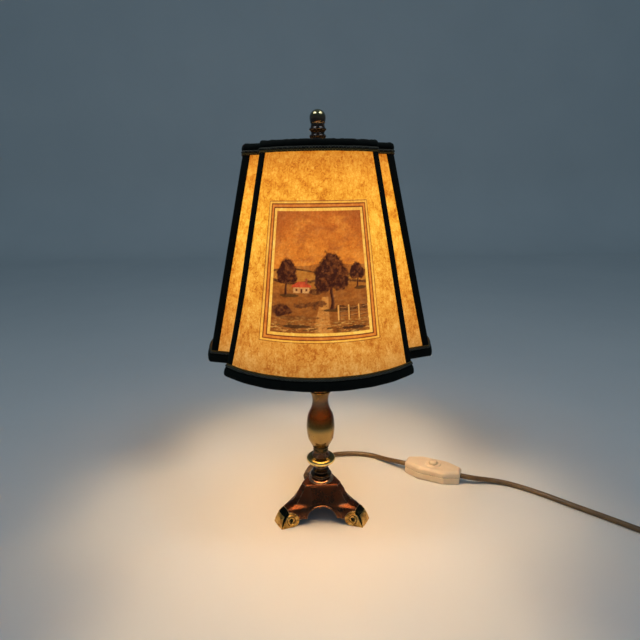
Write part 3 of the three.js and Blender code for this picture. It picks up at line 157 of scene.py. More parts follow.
BLACK, WHITE = (0, 0, 0), (1, 1, 1)
KNOP_LOW, KNOP_TOP = heights("knop_ring")


# Cast or turned metal: tarnish in patches, fine specks, and edges brighter, from wear and from a painted highlight
# where they catch light. Colours are sRGB, 0 to 255.
# Bands colour it by height in mm: painted reflections and painted shade by height. A heart (from height, to height,
# half width) paints their middle brighter and their sides darker, a painted reflection.
def metal(name, dark, middle, light, rough, patch=55, edge=0.0006, edge_wear_and_sheen=0.6, grain=0.05, bands=None, heart=None,
          metallic=1.0, upright=1.0, spread=0.17, coat=0.0, gloss=0.5):
    g = Graph(name)
    dark, middle, light = (srgb(*colour) for colour in (dark, middle, light))
    patches = g.noise(patch, 5, 0.6, 0.6, g.stretched(1, 1, upright))
    specks = g.noise(900, 3, 0.6)
    blend = g.math("ADD", g.math("MULTIPLY", patches, 0.8), g.math("MULTIPLY", specks, 0.2))
    colour = g.ramp(blend, [(0.5 - spread, dark), (0.52, middle), (0.54 + spread, light)])
    if bands:
        low, high = bands[0][0], bands[-1][0]
        place = g.add("SeparateXYZ", {0: g.coord}).outputs
        wavy = g.math("ADD", place["Z"], g.math("MULTIPLY", g.math("SUBTRACT", patches, 0.5), 0.006))
        band = g.ramp(g.span(wavy, low * MM, high * MM), [((z - low) / (high - low), srgb(*c)) for z, c in bands])
        if heart:
            start, end, reach = heart
            # Painted reflection: brighter where x is small, darker towards the sides
            away = g.span(g.math("ABSOLUTE", place["X"]), 0, reach * MM)
            shading = g.ramp(away, [(0.1, (1.5, 1.4, 1.2)), (0.45, WHITE), (0.9, (0.34, 0.34, 0.4))])
            within = g.ramp(g.span(place["Z"], start * MM, end * MM), [(0, BLACK), (0.25, WHITE), (0.75, WHITE),
                                                                       (1, BLACK)])
            band = g.mix(within, band, g.mix(1.0, band, shading, "MULTIPLY"))
        colour = g.mix(0.8, colour, band)
    soft = g.add("Bevel", {"Radius": edge}, samples=4).outputs[0]
    flat = g.add("NewGeometry").outputs["Normal"]
    turned = g.add("VectorMath", {0: soft, 1: flat}, operation="DOT_PRODUCT").outputs["Value"]
    # Edge mask: lightens the edges, standing for wear and for a painted highlight along them
    worn = g.math("MULTIPLY", g.span(turned, 0.985, 0.86), edge_wear_and_sheen, clamp=True)
    return g.finish({
        "Base Color": g.mix(worn, colour, light), "Metallic": metallic,
        "Roughness": g.span(g.noise(patch * 2.6, 5, 0.65), 0.3, 0.72, *rough),
        "Normal": g.bump(g.noise(1400, 4, 0.6), grain, 0.0003, soft),
        "Coat Weight": coat, "Coat Roughness": 0.06, "Specular IOR Level": gloss})


# Base patina; its bands paint the legs darker below 28 mm, painted shade that dims their reflections
PATINA = metal("patina", (60, 30, 17), (120, 66, 40), (236, 192, 150), patch=34, rough=(0.2, 0.4), edge=0.0009,
               edge_wear_and_sheen=0.85, grain=0.1, upright=0.35, spread=0.4,
               bands=[(8, (84, 50, 34)), (22, (84, 52, 36)), (28, (112, 60, 38)), (42, (120, 66, 40))])
# Lighter copy of the patina for the platform's dome: a painted highlight
DOME_HIGHLIGHT = metal("dome_painted_highlight", (120, 78, 56), (186, 134, 100), (240, 204, 168), patch=60, rough=(0.16, 0.3), edge=0.0009,
             edge_wear_and_sheen=0.8)
# Lighter patina for the arch beads and the neck collar: wear, and on the arches' rims a painted highlight
WORN_AND_LIT_PATINA = metal("worn_and_lit_patina", (78, 46, 30), (134, 90, 62), (206, 156, 116), patch=80, rough=(0.22, 0.4))
SPOOL = metal("spool_patina", (34, 26, 18), (72, 54, 36), (222, 180, 124), patch=60, rough=(0.14, 0.3), edge_wear_and_sheen=0.8,
              spread=0.4, coat=0.3)
DARK_BRASS = metal("dark_brass", (16, 18, 13), (34, 34, 24), (196, 160, 96), patch=60, rough=(0.14, 0.3), edge_wear_and_sheen=0.8,
                   spread=0.45)
BRASS = metal("brass", (120, 84, 34), (196, 156, 78), (236, 205, 130), rough=(0.14, 0.32))
# The knop's bands paint a bright highlight on its lower half and a dark reflection on its top
KNOP = metal("knop_brass_painted_light", (150, 118, 56), (222, 190, 100), (252, 232, 160), rough=(0.12, 0.26),
             bands=[(KNOP_LOW, (236, 200, 118)), (KNOP_LOW + 4.6, (252, 230, 150)), (KNOP_LOW + 6.2, (120, 104, 56)),
                    (KNOP_TOP, (50, 42, 26))])
# The vase's bands are painted reflections: gold low down, dark olive near 104 mm, orange-red near 116 mm, brown up
# the neck; its heart paints it brighter near x = 0 and darker at the sides
COLUMN = metal("column", (104, 70, 30), (184, 142, 66), (226, 190, 112), rough=(0.12, 0.3), edge_wear_and_sheen=0.4,
               heart=(102, 132, 13.5),
               bands=[(78, (70, 58, 44)), (84, (156, 128, 80)), (98, (172, 142, 88)), (101.5, (130, 114, 74)),
                      (104.5, (66, 52, 30)), (108, (86, 42, 18)), (111, (156, 62, 18)), (116, (250, 82, 16)),
                      (121, (204, 86, 36)), (128, (140, 104, 84)), (137, (88, 70, 46))])
FOOT = metal("foot_brass", (120, 80, 32), (204, 162, 84), (246, 216, 142), patch=130, rough=(0.2, 0.42), grain=0.12)
# The finial's bands are painted reflections: near-black below the ball, brown on its lower half, pale olive on its
# top
FINIAL = metal("finial_brass", (66, 52, 28), (104, 88, 52), (160, 138, 92), patch=160, rough=(0.1, 0.18), edge_wear_and_sheen=0.3,
               coat=1.0, bands=[(396, (12, 6, 4)), (398, (34, 16, 10)), (400.5, (66, 34, 20)), (402.4, (96, 62, 38)),
                                (404, (78, 70, 38)), (410, (170, 160, 104))])
# Painted shade on the finial: a near-black stem and ball underside, and a darker, duller black on faces that look
# down on the stem
SHADED_FINIAL_STEM = metal("finial_stem_painted_shade", (12, 8, 6), (20, 13, 9), (44, 30, 22), patch=160, rough=(0.12, 0.2), edge_wear_and_sheen=0.1,
                    metallic=0.1, gloss=0.32)
SHADED_FINIAL_UNDERSIDE = metal("finial_underside_painted_shade", (6, 4, 3), (10, 7, 5), (18, 12, 9), patch=160, rough=(0.6, 0.8), edge_wear_and_sheen=0.1,
                     metallic=0.0, gloss=0.02)
STEEL = metal("steel", (110, 108, 104), (170, 168, 162), (214, 212, 206), rough=(0.25, 0.45))
WIRE = metal("frame_wire", (128, 116, 88), (186, 172, 136), (220, 208, 176), rough=(0.35, 0.6), metallic=0.7)


def plastic(name, low, high, rough=(0.3, 0.44), scale=60, coat=0.15, pits=0.03, under=0.0):
    g = Graph(name)
    soft = g.add("Bevel", {"Radius": 0.0005}, samples=4).outputs[0]
    return g.finish({
        "Base Color": g.ramp(g.noise(scale, 5, 0.55), [(0.3, srgb(*low)), (0.7, srgb(*high))]),
        "Roughness": g.span(g.noise(scale * 5, 4, 0.6), 0.3, 0.7, *rough),
        "Normal": g.bump(g.noise(1800, 3, 0.6), pits, 0.0002, soft), "Coat Weight": coat, "Coat Roughness": 0.2,
        "Subsurface Weight": under, "Subsurface Scale": 0.002})


IVORY = plastic("ivory", (205, 188, 162), (222, 206, 182), under=0.1)
CORD = plastic("cord_plastic", (80, 58, 26), (108, 82, 42), rough=(0.26, 0.4), scale=110, coat=0.3)
CERAMIC = plastic("ceramic", (226, 222, 210), (242, 240, 232), rough=(0.18, 0.3), coat=0.5)
RUBBER = plastic("rubber", (56, 40, 18), (76, 56, 28), rough=(0.45, 0.65), coat=0.0, pits=0.12)
TIE = plastic("tie_band", (64, 54, 40), (92, 78, 56), rough=(0.55, 0.75), coat=0.0, pits=0.2)

SHADE_TOP, SHADE_BOTTOM = 378.9, 187.7
TOP_RADIUS, BOTTOM_RADIUS = 65.1, 107.8

# Glow of the lit parchment, painted as emission: heights in mm, brightest level with the bulb
GLOW = [(z, srgb(*colour)) for z, colour in (
    (188, (178, 118, 50)), (215, (212, 136, 48)), (255, (238, 158, 48)), (318, (253, 174, 46)), (352, (242, 154, 38)),
    (373, (208, 124, 32)))]


def glowing(g):
    height = g.add("SeparateXYZ", {0: g.coord}).outputs["Z"]
    share = g.span(height, SHADE_BOTTOM * MM, SHADE_TOP * MM)
    return g.ramp(share, [((z - SHADE_BOTTOM) / (SHADE_TOP - SHADE_BOTTOM), colour) for z, colour in GLOW])


# Skin of the parchment: soft clouds, short curly fibres and fine grain, all between 0 and 1
def fibres(g):
    clouds = g.noise(85, 3, 0.5, 0.3)
    curls = g.noise(330, 4, 0.62, 1.6)
    streaks = g.noise(420, 4, 0.6, 0.8, g.stretched(1, 1, 0.4))
    grain = g.noise(1250, 3, 0.7)
    total = g.math("MULTIPLY", clouds, 0.26)
    for part, weight in ((curls, 0.36), (streaks, 0.24), (grain, 0.14)):
        total = g.math("ADD", total, g.math("MULTIPLY", part, weight))
    return total, curls, grain


# Parchment glowing by painted emission, as if lit through by the bulb; with ink it carries the print
def parchment(name, ink=False):
    g = Graph(name)
    mottle, curls, grain = fibres(g)
    light = glowing(g)
    shade = g.ramp(mottle, [(0.40, (0.62, 0.4, 0.25)), (0.455, (0.86, 0.72, 0.52)), (0.50, (1.0, 1.0, 1.0)),
                            (0.54, (1.1, 1.24, 1.6)), (0.60, (1.24, 1.6, 3.0))])
    if ink:
        painted = g.add("Attribute", attribute_name="ink").outputs["Color"]
        shade = g.mix(0.5, (1, 1, 1), shade)
        light = g.mix(1.0, light, painted, "MULTIPLY")
        base = g.mix(1.0, (0.2, 0.1, 0.03), painted, "MULTIPLY")
    else:
        base = g.ramp(mottle, [(0.38, (0.15, 0.07, 0.016)), (0.6, (0.26, 0.14, 0.04))])
    light = g.mix(1.0, light, shade, "MULTIPLY")
    normal = g.bump(g.math("ADD", curls, g.math("MULTIPLY", grain, 0.4)), 0.25, 0.0004)
    return g.finish({
        "Base Color": base, "Roughness": g.span(curls, 0.3, 0.7, 0.46, 0.64), "Normal": normal,
        "Specular IOR Level": 0.12, "Emission Color": light, "Emission Strength": 0.96})


# Inner side of the parchment, painted as glowing in the bulb's direct light: paler and brighter than the outside
def painted_inside_glow(name):
    g = Graph(name)
    mottle, curls, _ = fibres(g)
    light = g.mix(0.55, glowing(g), (1.0, 0.84, 0.6))
    light = g.mix(1.0, light, g.ramp(mottle, [(0.4, (0.86, 0.8, 0.72)), (0.6, (1.06, 1.08, 1.1))]), "MULTIPLY")
    return g.finish({
        "Base Color": g.ramp(mottle, [(0.38, (0.42, 0.3, 0.16)), (0.6, (0.56, 0.42, 0.24))]),
        "Roughness": g.span(curls, 0.3, 0.7, 0.5, 0.7), "Normal": g.bump(curls, 0.25, 0.0004),
        "Emission Color": light, "Emission Strength": 1.7})


PARCHMENT = parchment("parchment")
GLOWING_INSIDE = painted_inside_glow("painted_inside_glow")
PRINT = parchment("print", ink=True)


def velvet(name, low, high, sheen):
    g = Graph(name)
    coarse = g.noise(130, 4, 0.6, 0.5)
    fine = g.noise(1500, 3, 0.7)
    colour = g.ramp(coarse, [(0.35, low), (0.68, high)])
    height = g.math("ADD", g.math("MULTIPLY", coarse, 0.5), g.math("MULTIPLY", fine, 0.5))
    return g.finish({
        "Base Color": colour, "Roughness": g.span(fine, 0.3, 0.7, 0.8, 0.98),
        "Normal": g.bump(height, 0.6, 0.0008), "Specular IOR Level": 0.15,
        "Sheen Weight": sheen, "Sheen Roughness": 0.35, "Sheen Tint": (0.22, 0.34, 0.24, 1)})


VELVET = velvet("velvet", (0.0004, 0.0012, 0.0008), (0.0012, 0.0034, 0.0022), 0.045)


# Woven braid: yarns that cross, seen as two sets of slanted waves
def braid(name, low, high):
    g = Graph(name)
    warp, weft = (
        g.add("TexWave", {"Vector": g.stretched(side, 1, 1), "Scale": 260, "Distortion": 1.2, "Detail": 2,
                          "Detail Scale": 3.0}, bands_direction="DIAGONAL").outputs["Fac"] for side in (1, -1))
    weave = g.math("MULTIPLY", warp, weft)
    colour = g.ramp(g.math("ADD", weave, g.math("MULTIPLY", g.noise(180, 3, 0.6), 0.5)), [(0.2, low), (0.9, high)])
    return g.finish({
        "Base Color": colour, "Roughness": g.span(g.noise(400, 3, 0.6), 0.3, 0.7, 0.6, 0.85),
        "Normal": g.bump(weave, 0.7, 0.0006), "Specular IOR Level": 0.2, "Sheen Weight": 0.08, "Sheen Roughness": 0.4,
        "Sheen Tint": (0.5, 0.45, 0.3, 1)})


BRAID = braid("braid", (0.012, 0.012, 0.009), (0.085, 0.082, 0.062))
GIMP = braid("gimp", (0.03, 0.018, 0.003), (0.2, 0.12, 0.026))


def frosted(name):
    g = Graph(name)
    cloud = g.noise(60, 3, 0.5)
    warm = g.ramp(cloud, [(0.3, (1.0, 0.66, 0.34)), (0.7, (1.0, 0.76, 0.46))])
    return g.finish({
        "Base Color": (0.95, 0.93, 0.88, 1), "Roughness": g.span(g.noise(500, 3, 0.6), 0.3, 0.7, 0.3, 0.45),
        "Normal": g.bump(g.noise(2000, 2, 0.6), 0.04, 0.0002), "Emission Color": warm, "Emission Strength": 2.5})


BULB_GLASS = frosted("bulb_glass_lit")


def mix(a, b, share):
    return a + (b - a) * share


def smooth(share):
    share = min(1.0, max(0.0, share))
    return share * share * (3 - 2 * share)


def unit(vector):
    return vector / np.linalg.norm(vector)


# Evenly spaced angles once round
def angles(count):
    return [2 * pi * k / count for k in range(count)]


# A point given along and across the direction at an angle about Z
def turn_to(angle, along, across, z):
    c, s = cos(angle), sin(angle)
    return (along * c - across * s, along * s + across * c, z)


# Meshes from rings, in mm. Each step returns the shape, so that steps can follow one another.
class Shape:
    def __init__(self):
        self.verts, self.faces = [], []

    def put(self, verts, faces):
        first = len(self.verts)
        self.verts.extend([tuple(v) for v in verts])
        self.faces.extend([tuple(first + i for i in face) for face in faces])
        return self

    def loft(self, rings, looped=False, caps=True, closed=True):
        count = len(rings[0])
        faces = []
        spans = len(rings) if looped else len(rings) - 1
        steps = count if closed else count - 1
        for i in range(spans):
            low, high = i * count, ((i + 1) % len(rings)) * count
            for j in range(steps):
                k = (j + 1) % count
                faces.append((low + j, low + k, high + k, high + j))
        if caps and not looped:
            faces.append(tuple(range(count))[::-1])
            faces.append(tuple((len(rings) - 1) * count + j for j in range(count)))
        return self.put([p for ring in rings for p in ring], faces)

    # Turned about Z at a centre; a profile that starts or ends on the axis closes in a point, and a bore runs
    # through it
    def lathe(self, profile, segments, centre=(0, 0), bore=None):
        points = list(profile)
        if bore is not None:
            points = [(bore, points[0][1])] + points + [(bore, points[-1][1])]
        circle = [(cos(a), sin(a)) for a in angles(segments)]
        rows, verts, faces = [], [], []
        for r, z in points:
            if r < 1e-6:
                rows.append([len(verts)] * segments)
                verts.append((centre[0], centre[1], z))
            else:
                rows.append([len(verts) + k for k in range(segments)])
                verts.extend((centre[0] + r * c, centre[1] + r * s, z) for c, s in circle)
        pairs = list(zip(rows, rows[1:])) + ([(rows[-1], rows[0])] if bore is not None else [])
        for low, high in pairs:
            for k in range(segments):
                n = (k + 1) % segments
                face = [low[k], low[n], high[n], high[k]]
                face = [v for i, v in enumerate(face) if v != face[i - 1]]
                if len(face) > 2:
                    faces.append(tuple(face))
        for row, (r, _) in ((rows[0], points[0]), (rows[-1], points[-1])):
            if bore is None and r >= 1e-6:
                faces.append(tuple(row))
        return self.put(verts, faces)

    def warp(self, change):
        self.verts = [tuple(v) for v in change(self.verts)]
        return self

    def make(self, name, material, sharp=38):
        mesh = bpy.data.meshes.new(name)
        mesh.from_pydata((np.array(self.verts, float) * MM).tolist(), [], self.faces)
        mesh.validate()
        work = bmesh.new()
        work.from_mesh(mesh)
        bmesh.ops.recalc_face_normals(work, faces=work.faces)
        work.to_mesh(mesh)
        work.free()
        return finish_mesh(name, mesh, material, sharp)


# Smooth shading, with edges sharper than an angle in degrees kept hard
def shade_mesh(mesh, sharp):
    mesh.polygons.foreach_set("use_smooth", [True] * len(mesh.polygons))
    if sharp:
        mesh.set_sharp_from_angle(angle=radians(sharp))


def finish_mesh(name, mesh, material, sharp):
    shade_mesh(mesh, sharp)
    mesh.materials.clear()
    mesh.materials.append(material)
    obj = bpy.data.objects.new(name, mesh)
    scene.collection.objects.link(obj)
    return obj


# Further materials for some faces: choose gives each face its material's number
def repaint(obj, materials, choose):
    for material in materials:
        obj.data.materials.append(material)
    for face in obj.data.polygons:
        face.material_index = int(choose(face))


# Puts a piece on its body and hides the CAD nodes it stands in for; slot is not used
def settle(obj, body, slot, *nodes):
    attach(obj, body)
    if nodes:
        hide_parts(*nodes)
    return obj


# Centripetal Catmull-Rom line through points, as in the part's source
def curve(points, steps):
    p = [np.array(q, float) for q in points]
    line = []
    for i in range(len(p) - 1):
        p1, p2 = p[i], p[i + 1]
        p0 = p[i - 1] if i else 2 * p[0] - p[1]
        p3 = p[i + 2] if i + 2 < len(p) else 2 * p[-1] - p[-2]
        d0, d1, d2 = (max(float(np.linalg.norm(b - a)), 1e-9) ** 0.5 for a, b in ((p0, p1), (p1, p2), (p2, p3)))
        t1 = ((p1 - p0) / d0 - (p2 - p0) / (d0 + d1) + (p2 - p1) / d1) * d1
        t2 = ((p2 - p1) / d1 - (p3 - p1) / (d1 + d2) + (p3 - p2) / d2) * d1
        for k in range(steps):
            t = k / steps
            line.append(p1 + t1 * t + (3 * (p2 - p1) - 2 * t1 - t2) * t * t + (2 * (p1 - p2) + t1 + t2) * t ** 3)
    line.append(p[-1])
    return line


# Rings of a round wire along a line, of one radius or of one for each point
def wire_rings(line, radii, sides):
    line = [np.array(q, float) for q in line]
    rings, side = [], None
    for k, (centre, radius) in enumerate(zip(line, np.broadcast_to(radii, len(line)))):
        tangent = unit(line[min(k + 1, len(line) - 1)] - line[max(k - 1, 0)])
        if side is None:
            side = np.cross(tangent, (0, 0, 1) if abs(tangent[2]) < 0.9 else (1, 0, 0))
        side = unit(side - tangent * side.dot(tangent))
        up = np.cross(tangent, side)
        rings.append([centre + radius * (cos(a) * side + sin(a) * up) for a in angles(sides)])
    return rings



# Cords, on the routes of the part's source
CORD_RADIUS = 3.0
START_ROUTE = [(-1.5, 2.2, 18.4), (-7.6, 16, 17.2), (-12.1, 27.8, 15.8), (-13.7, 32.1, 15.2), (-15.4, 38, 14.4),
               (-16.1, 46, 12.8), (-14.6, 56, 10.6), (-9.5, 72, 7.6), (4.9, 94.2, 4.6), (21, 104.6, 3.4),
               (33, 106.9, 3), (51.5, 106.2, 3), (69.4, 101, 3.1), (85.8, 88.9, 4.6)]
END_ROUTE = [(185, 38.4, 6.9), (196, 38.6, 5), (208, 37, 3.7), (220, 33, 3.1), (238.7, 21.3, 3), (254.3, 8.9, 3),
             (275, -9.5, 3), (300, -31, 3), (323, -51.5, 3), (346, -71, 3.2)]
# The switch: where it lies, its cord's height, and the cord's ends in its shell, at its edge and outside
SWITCH_PLACE, SWITCH_TURN, SWITCH_CORD = (138, 56.5), radians(-25.7), 8.85
SWITCH_ENTRY = (24.3, 33, 39)


def switch_point(along, across=0.0, height=SWITCH_CORD):
    c, s = cos(SWITCH_TURN), sin(SWITCH_TURN)
    return (SWITCH_PLACE[0] + along * c - across * s, SWITCH_PLACE[1] + along * s + across * c, height)


# The coil of spare lead: turns inwards on the floor, half a turn up, and turns outwards on top, then a straight
# tail that comes down to the plug
COIL_PLACE, COIL_START, COIL_RADIUS, COIL_PITCH = (398, -52), radians(-120), 43.2, 6.55
COIL_LOW, COIL_HIGH, TURNS_IN, TURNS_BACK, TURNS_OUT = 3.9, 10.5, 3, 0.5, 2.75
COIL_INNER = COIL_RADIUS - COIL_PITCH * TURNS_IN
COIL_TURNS = TURNS_IN + TURNS_BACK + TURNS_OUT
TAIL, PLUG_HEIGHT = 58, 7.0


def coil_at(turns):
    radius = COIL_RADIUS - COIL_PITCH * turns
    if turns > TURNS_IN:
        radius = COIL_INNER - COIL_PITCH * (TURNS_BACK / 2 - abs(turns - TURNS_IN - TURNS_BACK / 2))
    if turns > TURNS_IN + TURNS_BACK:
        radius = COIL_INNER + COIL_PITCH * (turns - TURNS_IN - TURNS_BACK)
    angle = COIL_START + 2 * pi * turns
    return np.array((COIL_PLACE[0] + radius * cos(angle), COIL_PLACE[1] + radius * sin(angle),
                     mix(COIL_LOW, COIL_HIGH, smooth((turns - TURNS_IN) / TURNS_BACK))))


def coil_tangent(turns):
    angle = COIL_START + 2 * pi * turns
    return np.array((-sin(angle), cos(angle), 0))


def tail_at(length):
    point = coil_at(COIL_TURNS) + coil_tangent(COIL_TURNS) * length
    point[2] = mix(COIL_HIGH, PLUG_HEIGHT, smooth((length / TAIL - 0.2) / 0.4))
    return point


def line_length(line):
    return sum(float(np.linalg.norm(b - a)) for a, b in zip(line, line[1:]))


# A cord as a curve with a round bevel
def cord_piece(name, line):
    data = bpy.data.curves.new(name, "CURVE")
    data.dimensions, data.bevel_depth, data.bevel_resolution, data.use_fill_caps = "3D", CORD_RADIUS * MM, 5, True
    data.resolution_u = 1
    spline = data.splines.new("POLY")
    spline.points.add(len(line) - 1)
    for point, place in zip(spline.points, line):
        point.co = (*(np.array(place) * MM), 1)
    spline.use_smooth = True
    data.materials.append(CORD)
    obj = bpy.data.objects.new(name, data)
    scene.collection.objects.link(obj)
    return obj


start_line = curve([*START_ROUTE, *(switch_point(-along) for along in SWITCH_ENTRY[::-1])], 8)
coil_first = coil_at(0) - coil_tangent(0) * 6
end_line = curve([*(switch_point(along) for along in SWITCH_ENTRY), *END_ROUTE,
                  coil_first - coil_tangent(0) * 6.3, coil_first - coil_tangent(0) * 0.3], 8)
coil_steps = round(COIL_TURNS * 48)
coil_line = [coil_first] + [coil_at(k * COIL_TURNS / coil_steps) for k in range(coil_steps + 1)]
coil_line += [tail_at(k * TAIL / 20) for k in range(1, 21)]
far_line = end_line[:-1] + coil_line
cord_near = settle(cord_piece("lead_near", start_line), "lamp", "cord", "cord_lamp_to_switch")
cord_far = settle(cord_piece("lead_far", far_line), "lamp", "cord", "cord_switch_to_coil", "cord_coil")


# Point at a distance along a line
def along_line(line, distance):
    walked = 0.0
    for a, b in zip(line, line[1:]):
        step = float(np.linalg.norm(b - a))
        if walked + step >= distance:
            return a + (b - a) * ((distance - walked) / step)
        walked += step
    return line[-1]


# Strain relief: a tapered, ribbed sleeve on the lead where it leaves the base
def strain_relief():
    step = line_length(start_line) / ceil(line_length(start_line) / 9)
    places = np.linspace(step, step * 5, 45)
    radii = []
    for k, d in enumerate(places):
        rib = 0.28 if d > step * 2.2 and (k // 2) % 2 else 0.0
        radii.append(mix(4.6, 3.8, max(0.0, (d / step - 2) / 3)) - rib)
    rings = wire_rings([along_line(start_line, d) for d in places], radii, 28)
    return settle(Shape().loft(rings).make("lead_gland", RUBBER), "lamp", "rubber", "cord_grommet")


gland = strain_relief()

# Base casting. Rows of a leg from floor to shoulder: height, reach, width, face and facet, in shares.
LEG_ROWS = np.array([
    [0, 1, 1, 1, 0.12], [0.19, 0.938, 0.916, 1, 0.62], [0.36, 0.799, 0.785, 0.914, 0.9],
    [0.45, 0.659, 0.654, 0.828, 1], [0.515, 0.412, 0.523, 0.741, 0.9], [0.59, 0.3, 0.41, 0.58, 0.7],
    [0.68, 0.226, 0.318, 0.44, 0.55], [0.86, 0.102, 0.13, 0.138, 0.2], [0.935, 0.03, 0.03, 0.03, 0.1],
    [1, 0, 0, 0, 0.06]])
SHOULDER, FOOT_REACH, SCROLL_CENTRE, SCROLL_RADIUS = 38.5, 54.0, 42.5, 7.4
BASE_WALL, ROOF_UNDER, LEDGE, ARCH_TOP, ARCH_HALF = 3.2, 32.5, 7.6, 19.6, 16.2
PLATFORM_RADIUS, BORE_RADIUS, TIP_BULGE = 13.2, 4.3, 0.35

# A leg's smallest and largest reach, half width, distance of its face and width of its facet
LEG_SIZES = ((21.7, FOOT_REACH), (3.5, 8.85), (14.6, 27.0), (0, 4.6))

# Shares of a facet's width that it takes off the reach and the half width
FACET_BACK, FACET_IN = 0.87, 0.5


# Smooth curve through values at places that never overshoots them
def eased(places, values, at):
    gaps = np.diff(places)
    slopes = np.diff(values) / gaps
    m = np.zeros(len(places))
    m[0], m[-1] = slopes[0], slopes[-1]
    for i in range(1, len(places) - 1):
        if slopes[i - 1] * slopes[i] > 0:
            w1, w2 = 2 * gaps[i] + gaps[i - 1], gaps[i] + 2 * gaps[i - 1]
            m[i] = (w1 + w2) / (w1 / slopes[i - 1] + w2 / slopes[i])
    i = int(np.clip(np.searchsorted(places, at) - 1, 0, len(gaps) - 1))
    t = (at - places[i]) / gaps[i]
    return ((2 * t ** 3 - 3 * t * t + 1) * values[i] + (t ** 3 - 2 * t * t + t) * gaps[i] * m[i]
            + (3 * t * t - 2 * t ** 3) * values[i + 1] + (t ** 3 - t * t) * gaps[i] * m[i + 1])


def leg_row(share):
    return [mix(*LEG_SIZES[k], eased(LEG_ROWS[:, 0], LEG_ROWS[:, k + 1], share)) for k in range(4)]


# The first leg stands at the back
def leg_angle(leg):
    return radians(90 + leg * 120)


# Middle of the face between this leg and the next
def face_angle(leg):
    return leg_angle(leg) + pi / 3


# Where a face ends at a leg's facet: sideways from the face's middle, and out from the axis
def face_end(reach, width, facet):
    flank = reach - FACET_BACK * facet
    return flank * sin(pi / 3) - width * cos(pi / 3), flank * cos(pi / 3) + width * sin(pi / 3)


# Outline of the base at one height: the tip of each leg, then the hollow face beside it
def base_ring(height, reach, width, face, facet, steps=28):
    ring = []
    tip = width - FACET_IN * facet
    along, out = face_end(reach, width, facet)
    for leg in range(3):
        for v in (-tip, -tip * 0.5, 0, tip * 0.5, tip):
            bulge = TIP_BULGE * (1 - (v / max(tip, 1e-6)) ** 2)
            ring.append(turn_to(leg_angle(leg), reach + bulge - TIP_BULGE, v, height))
        for k in range(steps + 1):
            across = -1 + 2 * k / steps
            ring.append(turn_to(face_angle(leg), face + (out - face) * across * across, along * across, height))
    return ring


# A point on the face beside a leg, and above it by proud
def face_place(x, z, leg, proud):
    reach, width, face, facet = leg_row(z / SHOULDER)
    along, out = face_end(reach, width, facet)
    return turn_to(face_angle(leg), face + (out - face) * (x / along) ** 2 + proud, x, z)


def base_solid(name):
    shares = sorted(set(np.round(np.concatenate([np.linspace(0, 1, 37), LEG_ROWS[:, 0]]), 4)))
    rings = [base_ring(s * SHOULDER, *leg_row(s)) for s in shares[:-1]]
    reach, width, face, facet = leg_row(1.0)
    for drop, inset in ((0.9, 0.0), (0.5, 0.12), (0.2, 0.4), (0.05, 0.75), (0, 1.2)):
        rings.append(base_ring(SHOULDER - drop, reach - inset, width - inset * 0.5, face - inset, facet))
    return Shape().loft(rings).make(name, PATINA)


# Tools that cut the base; a prism is an outline (along, height) drawn out across an angle
def prism(name, outline, place, low, high):
    return Shape().loft([[place(x, v, z) for x, z in outline] for v in (low, high)]).make(name, PATINA)


def foot_cutter(leg, grown):
    radius, wedge = SCROLL_RADIUS + grown, FOOT_REACH - 10 - grown
    last = acos(min(1, (wedge - SCROLL_CENTRE) / radius))
    outline = [(SCROLL_CENTRE, -3)]
    for k in range(49):
        a = mix(-pi / 2, last - 2 * pi, k / 48)
        outline.append((SCROLL_CENTRE + radius * cos(a), SCROLL_RADIUS + radius * sin(a)))
    outline += [(wedge, SHOULDER), (FOOT_REACH + 3, SHOULDER), (FOOT_REACH + 3, -3)]
    return prism("cut_foot", outline, lambda u, v, z: turn_to(leg_angle(leg), u, v, z), -27, 27)


def arch_cutter(leg):
    arch = [(ARCH_HALF * cos(k * pi / 40), mix(LEDGE, ARCH_TOP, sin(k * pi / 40))) for k in range(41)]
    outline = [(ARCH_HALF, -3), *arch, (-ARCH_HALF, -3)]
    return prism("cut_arch", outline, lambda x, u, z: turn_to(face_angle(leg), u, x, z), 1, 54)


def pillar_cutter(radius, low, high):
    return Shape().lathe([(radius, low), (radius, high)], 48).make("cut_pillar", PATINA)


def box_cutter(half, low, high):
    square = ((-half, -half), (half, -half), (half, half), (-half, half))
    return Shape().loft([[(x, y, z) for x, y in square] for z in (low, high)]).make("cut_slab", PATINA)


# Adds and cuts with tools, then removes them
def combine(obj, steps):
    for operation, tool in steps:
        cut = obj.modifiers.new("cut", "BOOLEAN")
        cut.operation, cut.solver, cut.object = operation, "EXACT", tool
    layer = bpy.context.evaluated_depsgraph_get()
    mesh = bpy.data.meshes.new_from_object(obj.evaluated_get(layer))
    obj.modifiers.clear()
    obj.data = mesh
    for _, tool in steps:
        bpy.data.objects.remove(tool)
    shade_mesh(mesh, 30)
    return obj


def cavity_cutter():
    rings = []
    for share in [-0.08, *np.linspace(0, ROOF_UNDER / SHOULDER, 16)]:
        reach, width, face, _ = leg_row(max(0.0, share))
        rings.append(base_ring(share * SHOULDER, min(reach - BASE_WALL, 31), max(width - BASE_WALL, 1.05),
                               face - BASE_WALL, 0.2, 12))
    return Shape().loft(rings).make("cut_cavity", PATINA)


def platform():
    profile = [(0, ROOF_UNDER), (PLATFORM_RADIUS, ROOF_UNDER), (PLATFORM_RADIUS, 38.6), (13.0, 39.2), (12.5, 39.8),
               (11.7, 40.35), (10.6, 40.8), (9.4, 41), (0, 41)]
    return Shape().lathe(profile, 96).make("cut_platform", PATINA)


def gland_cutter():
    inside, outside = np.array(START_ROUTE[2]), np.array(START_ROUTE[3])
    axis = unit(outside - inside)
    return Shape().loft(wire_rings([inside - axis * 9, outside + axis * 9], 4.9, 24)).make("cut_gland", PATINA)


